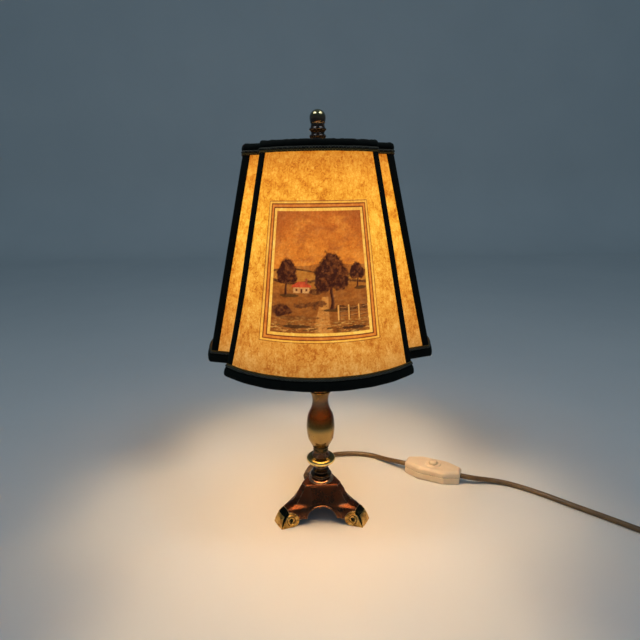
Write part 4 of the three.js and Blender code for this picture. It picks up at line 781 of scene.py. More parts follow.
base = combine(base_solid("base_body"), [
    ("UNION", platform()), ("DIFFERENCE", cavity_cutter()), ("DIFFERENCE", box_cutter(60, -3, LEDGE)),
    ("DIFFERENCE", pillar_cutter(BORE_RADIUS, 0, 44)), ("DIFFERENCE", gland_cutter()),
    *[("DIFFERENCE", foot_cutter(leg, 0.3)) for leg in range(3)],
    *[("DIFFERENCE", arch_cutter(leg)) for leg in range(3)]])

# A bead round the arch of each face, in the lighter patina that paints a highlight on its rim
beads = Shape()
for leg in range(3):
    rim = [face_place(ARCH_HALF * cos(a), mix(LEDGE, ARCH_TOP, sin(a)), leg, 0.1)
           for a in np.linspace(0.02, pi - 0.02, 49)]
    beads.loft(wire_rings(rim, 0.75, 10))
settle(beads.make("arch_beads", WORN_AND_LIT_PATINA), "lamp", "patina")
# Top faces of the platform's dome take the lighter copy of the patina: a painted highlight
repaint(base, [DOME_HIGHLIGHT], lambda face: face.center.z > (SHOULDER + 0.05) * MM
        and hypot(face.center.x, face.center.y) < (PLATFORM_RADIUS + 0.1) * MM)
settle(base, "lamp", "patina", "base_casting")


# A point on a leg's flank: v is found by steps, since the flank curves into the face
def flank_place(u, z, leg, side, proud):
    reach, width, face, facet = leg_row(z / SHOULDER)
    along, out = face_end(reach, width, facet)
    v = width
    for _ in range(12):
        x = sin(pi / 3) * u - cos(pi / 3) * v
        v = (face + (out - face) * (x / along) ** 2 - cos(pi / 3) * u) / sin(pi / 3)
    return turn_to(leg_angle(leg), u, (v + proud) * side, z)


# Scroll feet: the leg's end cut to a scroll and wedge, with a volute on both flanks
for leg, foot_name in enumerate(("foot_back", "foot_front_left", "foot_front_right")):
    foot = combine(base_solid(foot_name + "_scroll"), [("INTERSECT", foot_cutter(leg, 0.0))])
    foot.data.materials.clear()
    outward = Vector((cos(leg_angle(leg)), sin(leg_angle(leg)), 0))
    repaint(foot, [FOOT, DARK_BRASS], lambda face: 0.3 < face.normal.dot(outward) < 0.78
            and face.center.dot(outward) > (FOOT_REACH - 9.8) * MM)
    volutes, eyes = Shape(), Shape()
    for side in (-1, 1):
        spiral, groove, radii = [], [], []
        for k in range(61):
            share = k / 60
            a = radians(-60) + share * 3 * pi
            r = mix(6.3, 2.6, share ** 0.8)
            for line, radius, proud in ((spiral, r, 0.1), (groove, r - 1.05, -0.12)):
                u, z = SCROLL_CENTRE + radius * cos(a), max(0.8, SCROLL_RADIUS + radius * sin(a))
                line.append(flank_place(u, z, leg, side, proud))
            radii.append(mix(0.85, 0.55, share))
        volutes.loft(wire_rings(spiral, radii, 10))
        eyes.loft(wire_rings(groove, [r * 0.62 for r in radii], 8))
        centre = np.array(flank_place(SCROLL_CENTRE, SCROLL_RADIUS, leg, side, 0.0))
        across = np.array(flank_place(SCROLL_CENTRE, SCROLL_RADIUS, leg, side, 1.0)) - centre
        eyes.loft(wire_rings([centre - across * 0.5, centre + across * 0.25, centre + across * 0.45],
                             [2.2, 2.1, 1.5], 24))
    settle(foot, "lamp", "brass", foot_name)
    settle(volutes.make(foot_name + "_volutes", FOOT), "lamp", "brass")
    settle(eyes.make(foot_name + "_eyes", DARK_BRASS), "lamp", "patina")


# Turned column, from shares of each piece's own radius and height
def turned(chunks, radius, low, high):
    line = []
    for chunk in chunks:
        points = [(r * radius, low + z * (high - low)) for r, z in chunk]
        points = [tuple(p) for p in curve(points, 7)] if len(points) > 2 else points
        apart = not line or hypot(line[-1][0] - points[0][0], line[-1][1] - points[0][1]) > 1e-6
        line += points if apart else points[1:]
    return line


# One turned piece of the stack, in place of a CAD node
def stack(name, node, chunks, radius, material, slot, bore=BORE_RADIUS, segments=96):
    shape = Shape().lathe(turned(chunks, radius, *heights(node)), segments, bore=bore)
    return settle(shape.make(name, material, 50), "lamp", slot, node)


stack("spool", "spool_neck", [
    [(0.85, 0), (0.99, 0.04), (1.04, 0.1), (1.04, 0.17), (0.98, 0.23), (0.88, 0.26)],
    [(0.88, 0.26), (0.66, 0.275)],
    [(0.62, 0.30), (0.60, 0.33), (0.64, 0.36), (0.77, 0.39), (0.81, 0.435), (0.77, 0.48), (0.62, 0.51)],
    [(0.62, 0.51), (0.53, 0.56), (0.49, 0.64), (0.50, 0.75), (0.56, 0.86), (0.66, 0.935), (0.72, 0.96)],
    [(0.78, 0.965), (0.79, 1)]], 10.9, SPOOL, "patina")
stack("knop", "knop_ring", [
    [(0.60, 0), (0.70, 0.03), (0.87, 0.1), (0.97, 0.28), (1.0, 0.5), (0.97, 0.7), (0.85, 0.88), (0.72, 0.94)],
    [(0.70, 0.95), (0.66, 1.0)]], 15.3, KNOP, "brass")
stack("neck_collar", "collar", [
    [(1.0, 0), (1.0, 0.12)], [(0.985, 0.14), (0.95, 0.26), (0.85, 0.5), (0.77, 0.78), (0.755, 0.9)],
    [(0.80, 0.91), (0.80, 1)]], 9.3, WORN_AND_LIT_PATINA, "patina")
stack("vase", "vase_column", [
    [(0.50, 0), (0.535, 0.008), (0.548, 0.02), (0.53, 0.032), (0.49, 0.042)],
    [(0.49, 0.042), (0.485, 0.055)],
    [(0.50, 0.06), (0.56, 0.066), (0.588, 0.077), (0.565, 0.087), (0.515, 0.094)],
    [(0.515, 0.094), (0.60, 0.102), (0.70, 0.13), (0.79, 0.168), (0.90, 0.221), (0.97, 0.306), (1.0, 0.4),
     (0.987, 0.46), (0.95, 0.54), (0.88, 0.608), (0.78, 0.66), (0.678, 0.71), (0.607, 0.76), (0.562, 0.825),
     (0.568, 0.88), (0.62, 0.935), (0.70, 0.98)],
    [(0.74, 0.985), (0.74, 1)]], 14.75, COLUMN, "brass")
stack("dish", "top_dish", [
    [(0.62, 0), (0.74, 0.06), (0.86, 0.25), (0.95, 0.55), (0.985, 0.72)],
    [(0.985, 0.72), (1.0, 0.78), (1.0, 0.94), (0.98, 1)]], 12.5, BRASS, "brass")
stack("riser", "riser_tube", [[(0.96, 0), (1.0, 0.01)], [(1, 0.01), (1, 0.99)], [(1, 0.99), (0.96, 1)]], 6.5, BRASS,
      "brass", segments=48)
stack("holder_cup", "holder_cap", [
    [(0.43, 0), (0.46, 0.02)], [(0.47, 0.05), (0.5, 0.14), (0.55, 0.4), (0.66, 0.56), (0.84, 0.7), (0.95, 0.82)],
    [(0.97, 0.85), (1.0, 0.88), (1.0, 0.97), (0.98, 1)]], 20, BRASS, "brass", segments=72)
stack("holder_sleeve", "holder_shell", [
    [(0.985, 0), (1.0, 0.015), (1.0, 0.05), (0.985, 0.065)], [(0.975, 0.08), (0.975, 0.42)],
    [(0.975, 0.43), (1.0, 0.45), (1.0, 0.5), (0.975, 0.52)], [(0.975, 0.53), (0.975, 0.92)],
    [(0.975, 0.93), (1.0, 0.95), (1.0, 0.985), (0.985, 1)]], 20, BRASS, "brass", bore=18.8, segments=72)


# Harp: half the distance between its feet, half its greatest width, and its wire's radius
HARP_FOOT, HARP_WIDE, HARP_WIRE = 25, 48, 1.7


# Harp saddle: a waisted bar with a rolled edge and two sockets
def saddle():
    low, high = heights("harp_saddle")
    bar_top = low + 1.6
    outline = []
    for a in angles(72):
        x = 30 * cos(a)
        outline.append((x, 7 * sin(a) * (0.62 + 0.38 * cos(pi * min(1, abs(x) / 24)) ** 2)))
    shape = Shape().loft([[(x * k, y * k, z) for x, y in outline] for k, z in
                          ((0.985, low), (1, low + 0.3), (1, bar_top - 0.3), (0.985, bar_top))])
    socket = [(3.2, low), (3.2, bar_top + 5.6), (3.45, bar_top + 6), (3.45, bar_top + 7.4), (3.2, high)]
    for x in (-HARP_FOOT, HARP_FOOT):
        shape.lathe(socket, 32, (x, 0), 2.0)
    return settle(shape.make("saddle_bar", BRASS), "lamp", "brass", "harp_saddle")


saddle()


def harp_wire():
    foot, top = heights("harp")[0], heights("harp")[1] - HARP_WIRE
    side = [(HARP_FOOT, 0, foot + rise) for rise in (0, 4, 8, 16)]
    side += [(HARP_WIDE * x, 0, mix(foot, top, z)) for x, z in
             ((0.708, 0.16), (0.917, 0.319), (1, 0.51), (0.958, 0.705), (0.77, 0.865), (0.417, 0.965))]
    line = curve([*side, (0, 0, top), *[(-x, y, z) for x, y, z in side[::-1]]], 10)
    return settle(Shape().loft(wire_rings(line, HARP_WIRE, 16)).make("harp_bow", BRASS), "lamp", "brass", "harp")


harp_wire()


# Part of a turned profile: one thread's points again and again, from one height up to another
def threads(low, high, pitch, points):
    profile = []
    while low < high:
        profile += [(r, low + rise) for r, rise in points]
        low += pitch
    return profile


def stud():
    low, high = heights("harp_stud")
    profile = [(0, low), (6.7, low), (7, low + 0.3), (7, low + 2.1), (6.7, low + 2.4), (3.0, low + 2.4)]
    profile += threads(low + 3.0, high - 0.8, 0.75, ((2.95, 0), (2.6, 0.35), (2.95, 0.7)))
    profile += [(2.5, high - 0.2), (2.2, high), (0, high)]
    return settle(Shape().lathe(profile, 40).make("stud_thread", BRASS), "lamp", "brass", "harp_stud")


stud()


def bulb():
    low, high = heights("bulb_cap")
    profile = [(0, low), (4.2, low), (4.5, low + 0.5), (4.5, low + 1.2), (8.2, low + 2.9), (11.6, low + 5.4)]
    profile += threads(low + 6.6, high - 3.8, 3.3, ((12.3, 0), (12.85, 0.9), (12.85, 1.5), (12.3, 2.4)))
    profile += [(12.6, high - 2.5), (12.8, high - 0.6), (12.6, high), (0, high)]
    settle(Shape().lathe(profile, 56).make("bulb_thread", STEEL), "bulb", "steel", "bulb_cap")
    low, high = heights("bulb_glass")
    radius, join_angle = 30, radians(-48)
    centre = high - radius
    join_r, join_z = radius * cos(join_angle), centre + radius * sin(join_angle)
    lower = [(mix(12.4, join_r, r), mix(low, join_z, z)) for r, z in
             ((0, 0), (0.03, 0.15), (0.12, 0.3), (0.27, 0.5), (0.45, 0.72), (0.68, 0.87))]
    upper = [(radius * cos(a), centre + radius * sin(a)) for a in
             (mix(join_angle, pi / 2, k / 26) for k in range(26))]
    glass = Shape().lathe([*lower, *upper, (0, high)], 64)
    globe = settle(glass.make("bulb_globe", BULB_GLASS, 70), "bulb", "glass", "bulb_glass")
    globe.visible_shadow = False


bulb()


def finial():
    low, high = heights("finial")
    ball = 7.3
    shares = [
        [(0.70, 0), (0.76, 0.015), (0.79, 0.05), (0.76, 0.085), (0.66, 0.115)],
        [(0.60, 0.13), (0.52, 0.19), (0.53, 0.24)],
        [(0.64, 0.255), (0.74, 0.275), (0.82, 0.30), (0.84, 0.33), (0.80, 0.355), (0.70, 0.375)],
        [(0.675, 0.385), (0.672, 0.41), (0.69, 0.43), (0.73, 0.45), (0.775, 0.468)],
        [(0.83, 0.475), (0.865, 0.49), (0.86, 0.51), (0.80, 0.525)],
        [(0.78, 0.53), (0.73, 0.553), (0.70, 0.585), (0.69, 0.62), (0.68, 0.645)]]
    profile = turned(shares, 8.9, low, high)
    centre = high - ball
    for k in range(26):
        a = mix(radians(-36), pi / 2, k / 26)
        profile.append((ball * cos(a), centre + ball * sin(a) * (1.35 if a < 0 else 1.0)))
    shape = Shape().lathe([(3.3, low + 0.2), *profile, (0, high)], 72)
    obj = shape.make("finial_turned", FINIAL, 50)

    # Painted shade: the ball's underside takes the stem's dark finish, and faces that look down on the stem are
    # darker still
    def darker(face):
        if face.center.z < (centre - ball * 0.86) * MM:
            return 2 if face.normal.z < -0.2 else 1
        return face.normal.z < -0.3

    repaint(obj, [SHADED_FINIAL_STEM, SHADED_FINIAL_UNDERSIDE], darker)
    return settle(obj, "finial", "brass", "finial")


finial()

# Shade outline: corners at the panels' edges and one vertex in each notch, angles from the front in degrees
FRONT_EDGE, SIDE_EDGE, NOTCH_DEPTH = 45.9, 72.3, 0.21
PARCHMENT_THICK = 0.8
SIDES = ("front", "right", "back", "left")


def shade_radius(z):
    return mix(BOTTOM_RADIUS, TOP_RADIUS, (z - SHADE_BOTTOM) / (SHADE_TOP - SHADE_BOTTOM))


# Direction at an angle in degrees, from the front towards the right
def unit_at(angle):
    return np.array((sin(radians(angle)), -cos(radians(angle))))


# Points of the outline at radius 1, and each panel's first and last point and their angles
outline, arcs = [], []
for side in range(4):
    wide = side % 2 == 0
    middle, spread, steps = side * 90, FRONT_EDGE if wide else 90 - SIDE_EDGE, 48 if wide else 20
    first = len(outline)
    outline += [unit_at(mix(middle - spread, middle + spread, k / steps)) for k in range(steps + 1)]
    arcs.append((first, len(outline) - 1, middle - spread, middle + spread))
    half_notch = (FRONT_EDGE + SIDE_EDGE) / 2
    outline.append(unit_at(middle + (half_notch if wide else 90 - half_notch)) * (1 - NOTCH_DEPTH))
COUNT = len(outline)

# The hand-made shade's front panel is narrower at its top, and flares at its lower left corner: each corner's
# place, then its turn in degrees at the top, middle and bottom, over a reach to both sides. The lower rim hangs
# lowest at the front left: drop and swing in mm, and the angle where it is lowest.
UNEVEN, UNEVEN_REACH = ((-FRONT_EDGE, 1.3, -0.85, -4.6), (FRONT_EDGE, -2.0, -0.75, -0.4)), 22
RIM_DROP, RIM_SWING, RIM_LOWEST = 0.3, 1.5, -40


def uneven(points):
    points = np.array(points, float)
    turn = np.degrees(np.arctan2(points[:, 0], -points[:, 1]))
    level = np.clip((points[:, 2] - SHADE_BOTTOM) / (SHADE_TOP - SHADE_BOTTOM), 0, 1)
    shift = np.zeros(len(points))
    for corner, top, middle, bottom in UNEVEN:
        near = np.cos(np.clip(np.abs(turn - corner) / UNEVEN_REACH, 0, 1) * pi / 2) ** 2
        end = np.where(level > 0.5, top, bottom)
        shift += near * (middle + (end - middle) * np.abs(level * 2 - 1) ** 1.5)
    c, s = np.cos(np.radians(shift)), np.sin(np.radians(shift))
    x, y = points[:, 0].copy(), points[:, 1].copy()
    points[:, 0], points[:, 1] = x * c - y * s, x * s + y * c
    points[:, 2] -= (1 - level) * (RIM_DROP + RIM_SWING * np.cos(np.radians(turn - RIM_LOWEST)))
    return points


# Normal of the outline's edge from a point to the next
def edge_normal(i):
    edge = unit(outline[(i + 1) % COUNT] - outline[i % COUNT])
    return np.array((edge[1], -edge[0]))


# Where a corner goes when both its edges move outwards by 1
def mitre(a, b):
    return (a + b) / (1 + a.dot(b))


MITRES = [mitre(edge_normal(i - 1), edge_normal(i)) for i in range(COUNT)]


# A point of the outline at a height, moved outwards by an offset
def shade_point(i, z, offset):
    flat = outline[i % COUNT] * shade_radius(z) + MITRES[i % COUNT] * offset
    return (flat[0], flat[1], z)


# The outline again with its corners rounded, for cloth: each point's index, its corner's rounding, and how far
# round that corner it is
def soft_path(outer_round, inner_round):
    rounded, steps = {}, 7
    for first, last, _, _ in arcs:
        rounded[first], rounded[last], rounded[(last + 1) % COUNT] = outer_round, outer_round, inner_round
    path = []
    for i in range(COUNT):
        if i in rounded:
            path += [(i, rounded[i], k / (steps - 1)) for k in range(steps)]
        else:
            path.append((i, None, 0.0))
    return path


# A point of the rounded outline; inside, it is drawn back to the sharp corner over the first few mm
def soft_point(entry, z, offset):
    i, rounding, share = entry
    if rounding is None:
        return shade_point(i, z, offset)
    before, after = edge_normal(i - 1), edge_normal(i)
    corner, m = outline[i] * shade_radius(z), mitre(before, after)
    sign = 1.0 if before[0] * after[1] - before[1] * after[0] > 0 else -1.0
    bend = acos(max(-1.0, min(1.0, float(before.dot(after)))))
    angle = atan2(before[1], before[0]) + sign * bend * share
    n = np.array((cos(angle), sin(angle)))
    flat = corner - m * rounding * sign + n * rounding * sign + n * offset
    if offset * sign < 0:
        pulled = min(0.94, -offset * sign / 3.0)
        flat = flat * (1 - pulled) + (corner + m * offset) * pulled
    return (flat[0], flat[1], z)


# A band of cloth round the shade: a section (offset, level, share of the waver) carried along the soft outline
def cloth_band(name, section, material, outer_round, inner_round, waver, seed, lumps=0.0):
    path = soft_path(outer_round, inner_round)
    phases = np.random.default_rng(seed).uniform(0, 2 * pi, 6)
    rings = []
    for t, entry in zip(angles(len(path)), path):
        wave = waver * sum(sin((9 + 7 * j) * t + p) for j, p in enumerate(phases)) / 3
        lump = lumps * sum(sin((23 + 13 * j) * t + 2 * p) for j, p in enumerate(phases)) / 3
        if entry[1] is not None:
            lump += lumps
        rings.append([soft_point(entry, z + wave * w + lump * (w > 1), o) for o, z, w in section])
    return Shape().loft(rings, looped=True).warp(uneven).make(name, material, 60)


# Section of a rounded velvet band that folds over the rim, outside first
def pad_section(low, high, proud, inner_leg, top):
    edge, back = (high, low) if top else (low, high)
    sign = 1 if top else -1
    section = []
    for share, bulge in ((0, 0.12), (0.04, 0.5), (0.14, 0.8), (0.3, 0.96), (0.5, 1.0), (0.7, 0.97), (0.84, 0.86),
                         (0.94, 0.62), (0.985, 0.36)):
        section.append((proud * bulge, back + sign * (high - low) * share, 1.0 + 0.1 * (share > 0.8)))
    for offset, drop in ((0.3, 0.0), (-1.2, 0.0), (-3.4, 0.05), (-4.6, 0.4), (-5.2, 1.4)):
        section.append((offset, edge - sign * drop, 1.1))
    for offset, drop in ((-5.2, inner_leg), (-4.1, inner_leg), (-4.0, 1.6), (0.1, 1.6)):
        section.append((offset, edge - sign * drop, 0.4))
    section.append((0.1, back, 0.6))
    return section


# Lowest and highest level of the trims on each rim, in mm, and the level where velvet and braid meet
TOP_BAND, TOP_SEAM = (370.2, 379.6), 374.1
BOTTOM_BAND, BOTTOM_SEAM = (187.9, 199.1), 196.4
for name, node, section, rounding, seed, lumps in (
        ("rim_velvet_top", "trim_top", pad_section(TOP_SEAM, TOP_BAND[1], 2.6, 5, True), 1.5, 3, 0.22),
        ("rim_velvet_bottom", "trim_bottom", pad_section(BOTTOM_BAND[0], BOTTOM_SEAM, 2.9, 5, False), 2.0, 4, 0.05)):
    settle(cloth_band(name, section, VELVET, rounding, 1.2, 0.12, seed, lumps), "shade", "velvet", node)

# Between velvet and parchment: a grey-green cord, and a thin gold-brown one beside the parchment
for name, centre, half_height, proud, material in (
        ("braid_top", TOP_SEAM - 0.75, 1.0, 2.3, BRAID), ("braid_top_edge", TOP_BAND[0] + 1.1, 1.1, 1.7, GIMP),
        ("braid_bottom", BOTTOM_SEAM + 0.7, 1.0, 2.5, BRAID),
        ("braid_bottom_edge", BOTTOM_BAND[1] - 0.8, 0.85, 1.7, GIMP)):
    section = [(0.25 + proud * (0.5 + 0.5 * cos(a)), centre + half_height * sin(a), 1.0) for a in angles(12)]
    settle(cloth_band(name, section, material, 1.4, 1.1, 0.1, 5), "shade", "velvet")


# Velvet ribbon folded round an outer corner, between the rims' velvet; toward_arc is the way to the wide panel
RIBBON_WIDTH, RIBBON_THICK, RIBBON_UNDER = 5.6, 1.05, 0.2


def ribbon(name, node, corner, toward_arc):
    radial = outline[corner]
    angle = atan2(radial[0], -radial[1])
    along_arc = np.array((cos(angle), sin(angle))) * toward_arc
    vertex = (corner - toward_arc) % COUNT
    along_wall = unit(outline[vertex] - radial)
    wall_normal = edge_normal(vertex if toward_arc > 0 else corner)
    phase = np.random.default_rng(corner).uniform(0, 2 * pi, 3)
    profile = [(1.0, 0.0), (0.96, 0.55), (0.8, 0.86), (0.5, 0.98), (0.2, 1.0)]
    rows = []
    for z in (mix(BOTTOM_SEAM, TOP_SEAM - 0.9, k / 40) for k in range(41)):
        edge = radial * shade_radius(z)
        sway = 0.12 * (sin(z / 9 + phase[0]) + 0.6 * sin(z / 4.1 + phase[1]))
        row = [edge + along_arc * (RIBBON_WIDTH + sway) * share + radial * (RIBBON_UNDER + RIBBON_THICK * thick)
               for share, thick in profile]
        row += [edge + unit(radial * (1 - t) + wall_normal * t) * 1.32 for t in (0.2, 0.5, 0.8)]
        row += [edge + along_wall * (RIBBON_WIDTH - 0.3 + sway) * share
                + wall_normal * (RIBBON_UNDER + RIBBON_THICK * thick) for share, thick in profile[::-1]]
        row += [edge + along_wall * (RIBBON_WIDTH - 0.3) + wall_normal * 0.1, edge + mitre(radial, wall_normal) * 0.1,
                edge + along_arc * RIBBON_WIDTH + radial * 0.1]
        rows.append([(x, y, z) for x, y in row])
    return settle(Shape().loft(rows).warp(uneven).make(name, VELVET, 70), "shade", "velvet", node)


for side_name, (first, last, _, _) in zip(SIDES, arcs):
    ribbon(f"velvet_{side_name}_a", f"ribbon_{side_name}_a", first, 1)
    ribbon(f"velvet_{side_name}_b", f"ribbon_{side_name}_b", last, -1)

PANEL_LOW, PANEL_TOP = heights("panel_front")


# Parchment skins, a little wavy between their edges
def ripple(name, column, across, z):
    phase = np.random.default_rng(sum(map(ord, name))).uniform(0, 2 * pi, 4)
    fade = np.sin(pi * across) * np.sin(pi * (z - PANEL_LOW) / (PANEL_TOP - PANEL_LOW))
    return 0.16 * fade * (np.sin(z / 23 + phase[0] + column * 0.09) + np.sin(z / 11 + phase[1] - column * 0.17) - 1)


# A sheet through columns, each of which gives a point and its normal at a level: outside first, then inside
def skin(name, node, columns):
    levels = np.linspace(PANEL_LOW, PANEL_TOP, 41)
    rows, count = len(levels), len(columns)

    def place(c, z, depth):
        point, normal = columns[c](z)
        flat = point + normal * (ripple(name, c, c / (count - 1), z) - depth)
        return (flat[0], flat[1], z)

    verts = [place(c, z, depth) for depth in (0, PARCHMENT_THICK) for z in levels for c in range(count)]
    size, faces = rows * count, []
    for a in (r * count + c for r in range(rows - 1) for c in range(count - 1)):
        b = a + count
        faces.append((a, a + 1, b + 1, b))
        faces.append((size + a, size + b, size + b + 1, size + a + 1))
    for a in range(0, size - count, count):
        b, c, d = a + count, a + count - 1, a + 2 * count - 1
        faces.append((a, b, size + b, size + a))
        faces.append((c, size + c, size + d, d))
    for c in range(count - 1):
        a = size - count + c
        faces.append((c, size + c, size + c + 1, c + 1))
        faces.append((a, a + 1, size + a + 1, size + a))
    obj = Shape().put(uneven(verts), faces).make(name, PARCHMENT, 45)
    # Inner faces take the inside's brighter painted glow
    repaint(obj, [GLOWING_INSIDE], lambda face: face.index % 2 and face.index < 2 * (rows - 1) * (count - 1))
    return settle(obj, "shade", "parchment", node)


# Columns across a wide panel, and the gap in degrees between a skin and the corner
WIDE_STEPS, SKIN_GAP = 64, 0.2


def arc_columns(from_angle, to_angle, steps):
    columns = []
    for k in range(steps + 1):
        u = unit_at(mix(from_angle + SKIN_GAP, to_angle - SKIN_GAP, k / steps))
        columns.append(lambda z, u=u: (u * shade_radius(z), u))
    return columns


# The two halves of a notch sheet, which meet at its vertex
def notch_columns(vertex):
    columns = []
    for corner, normal, shares in (((vertex - 1) % COUNT, edge_normal(vertex - 1), (0, 0.33, 0.66, 0.93)),
                                   ((vertex + 1) % COUNT, edge_normal(vertex), (0.93, 0.66, 0.33, 0))):
        into = unit(outline[vertex] - outline[corner])
        for share in shares:
            columns.append(lambda z, corner=corner, normal=normal, into=into, share=share: (
                mix(outline[corner] * shade_radius(z) + into, outline[vertex] * shade_radius(z), share), normal))
    columns.insert(4, lambda z: (outline[vertex] * shade_radius(z), MITRES[vertex]))
    return columns


for k, (side_name, (_, last, low_angle, high_angle)) in enumerate(zip(SIDES, arcs)):
    skin(f"skin_{side_name}", f"panel_{side_name}", arc_columns(low_angle, high_angle, 24 if k % 2 else WIDE_STEPS))
for notch_name, (_, last, _, _) in zip(("front_right", "back_right", "back_left", "front_left"), arcs):
    skin(f"skin_notch_{notch_name}", f"notch_sheet_{notch_name}", notch_columns((last + 1) % COUNT))


# Smooth noise between 0 and 1 from a small seeded grid, for painting
def blotches(seed, x, y, size, octaves=4):
    total, weights = 0.0, 0.0
    for octave in range(octaves):
        values = np.random.default_rng(seed + octave).random((64, 64))
        u, v = x / size * 2 ** octave, y / size * 2 ** octave
        i, j = np.floor(u).astype(int), np.floor(v).astype(int)
        a, b = u - i, v - j
        a, b = a * a * (3 - 2 * a), b * b * (3 - 2 * b)
        low = values[i % 64, j % 64] * (1 - a) + values[(i + 1) % 64, j % 64] * a
        high = values[i % 64, (j + 1) % 64] * (1 - a) + values[(i + 1) % 64, (j + 1) % 64] * a
        total, weights = total + (low * (1 - b) + high * b) * 0.6 ** octave, weights + 0.6 ** octave
    return total / weights


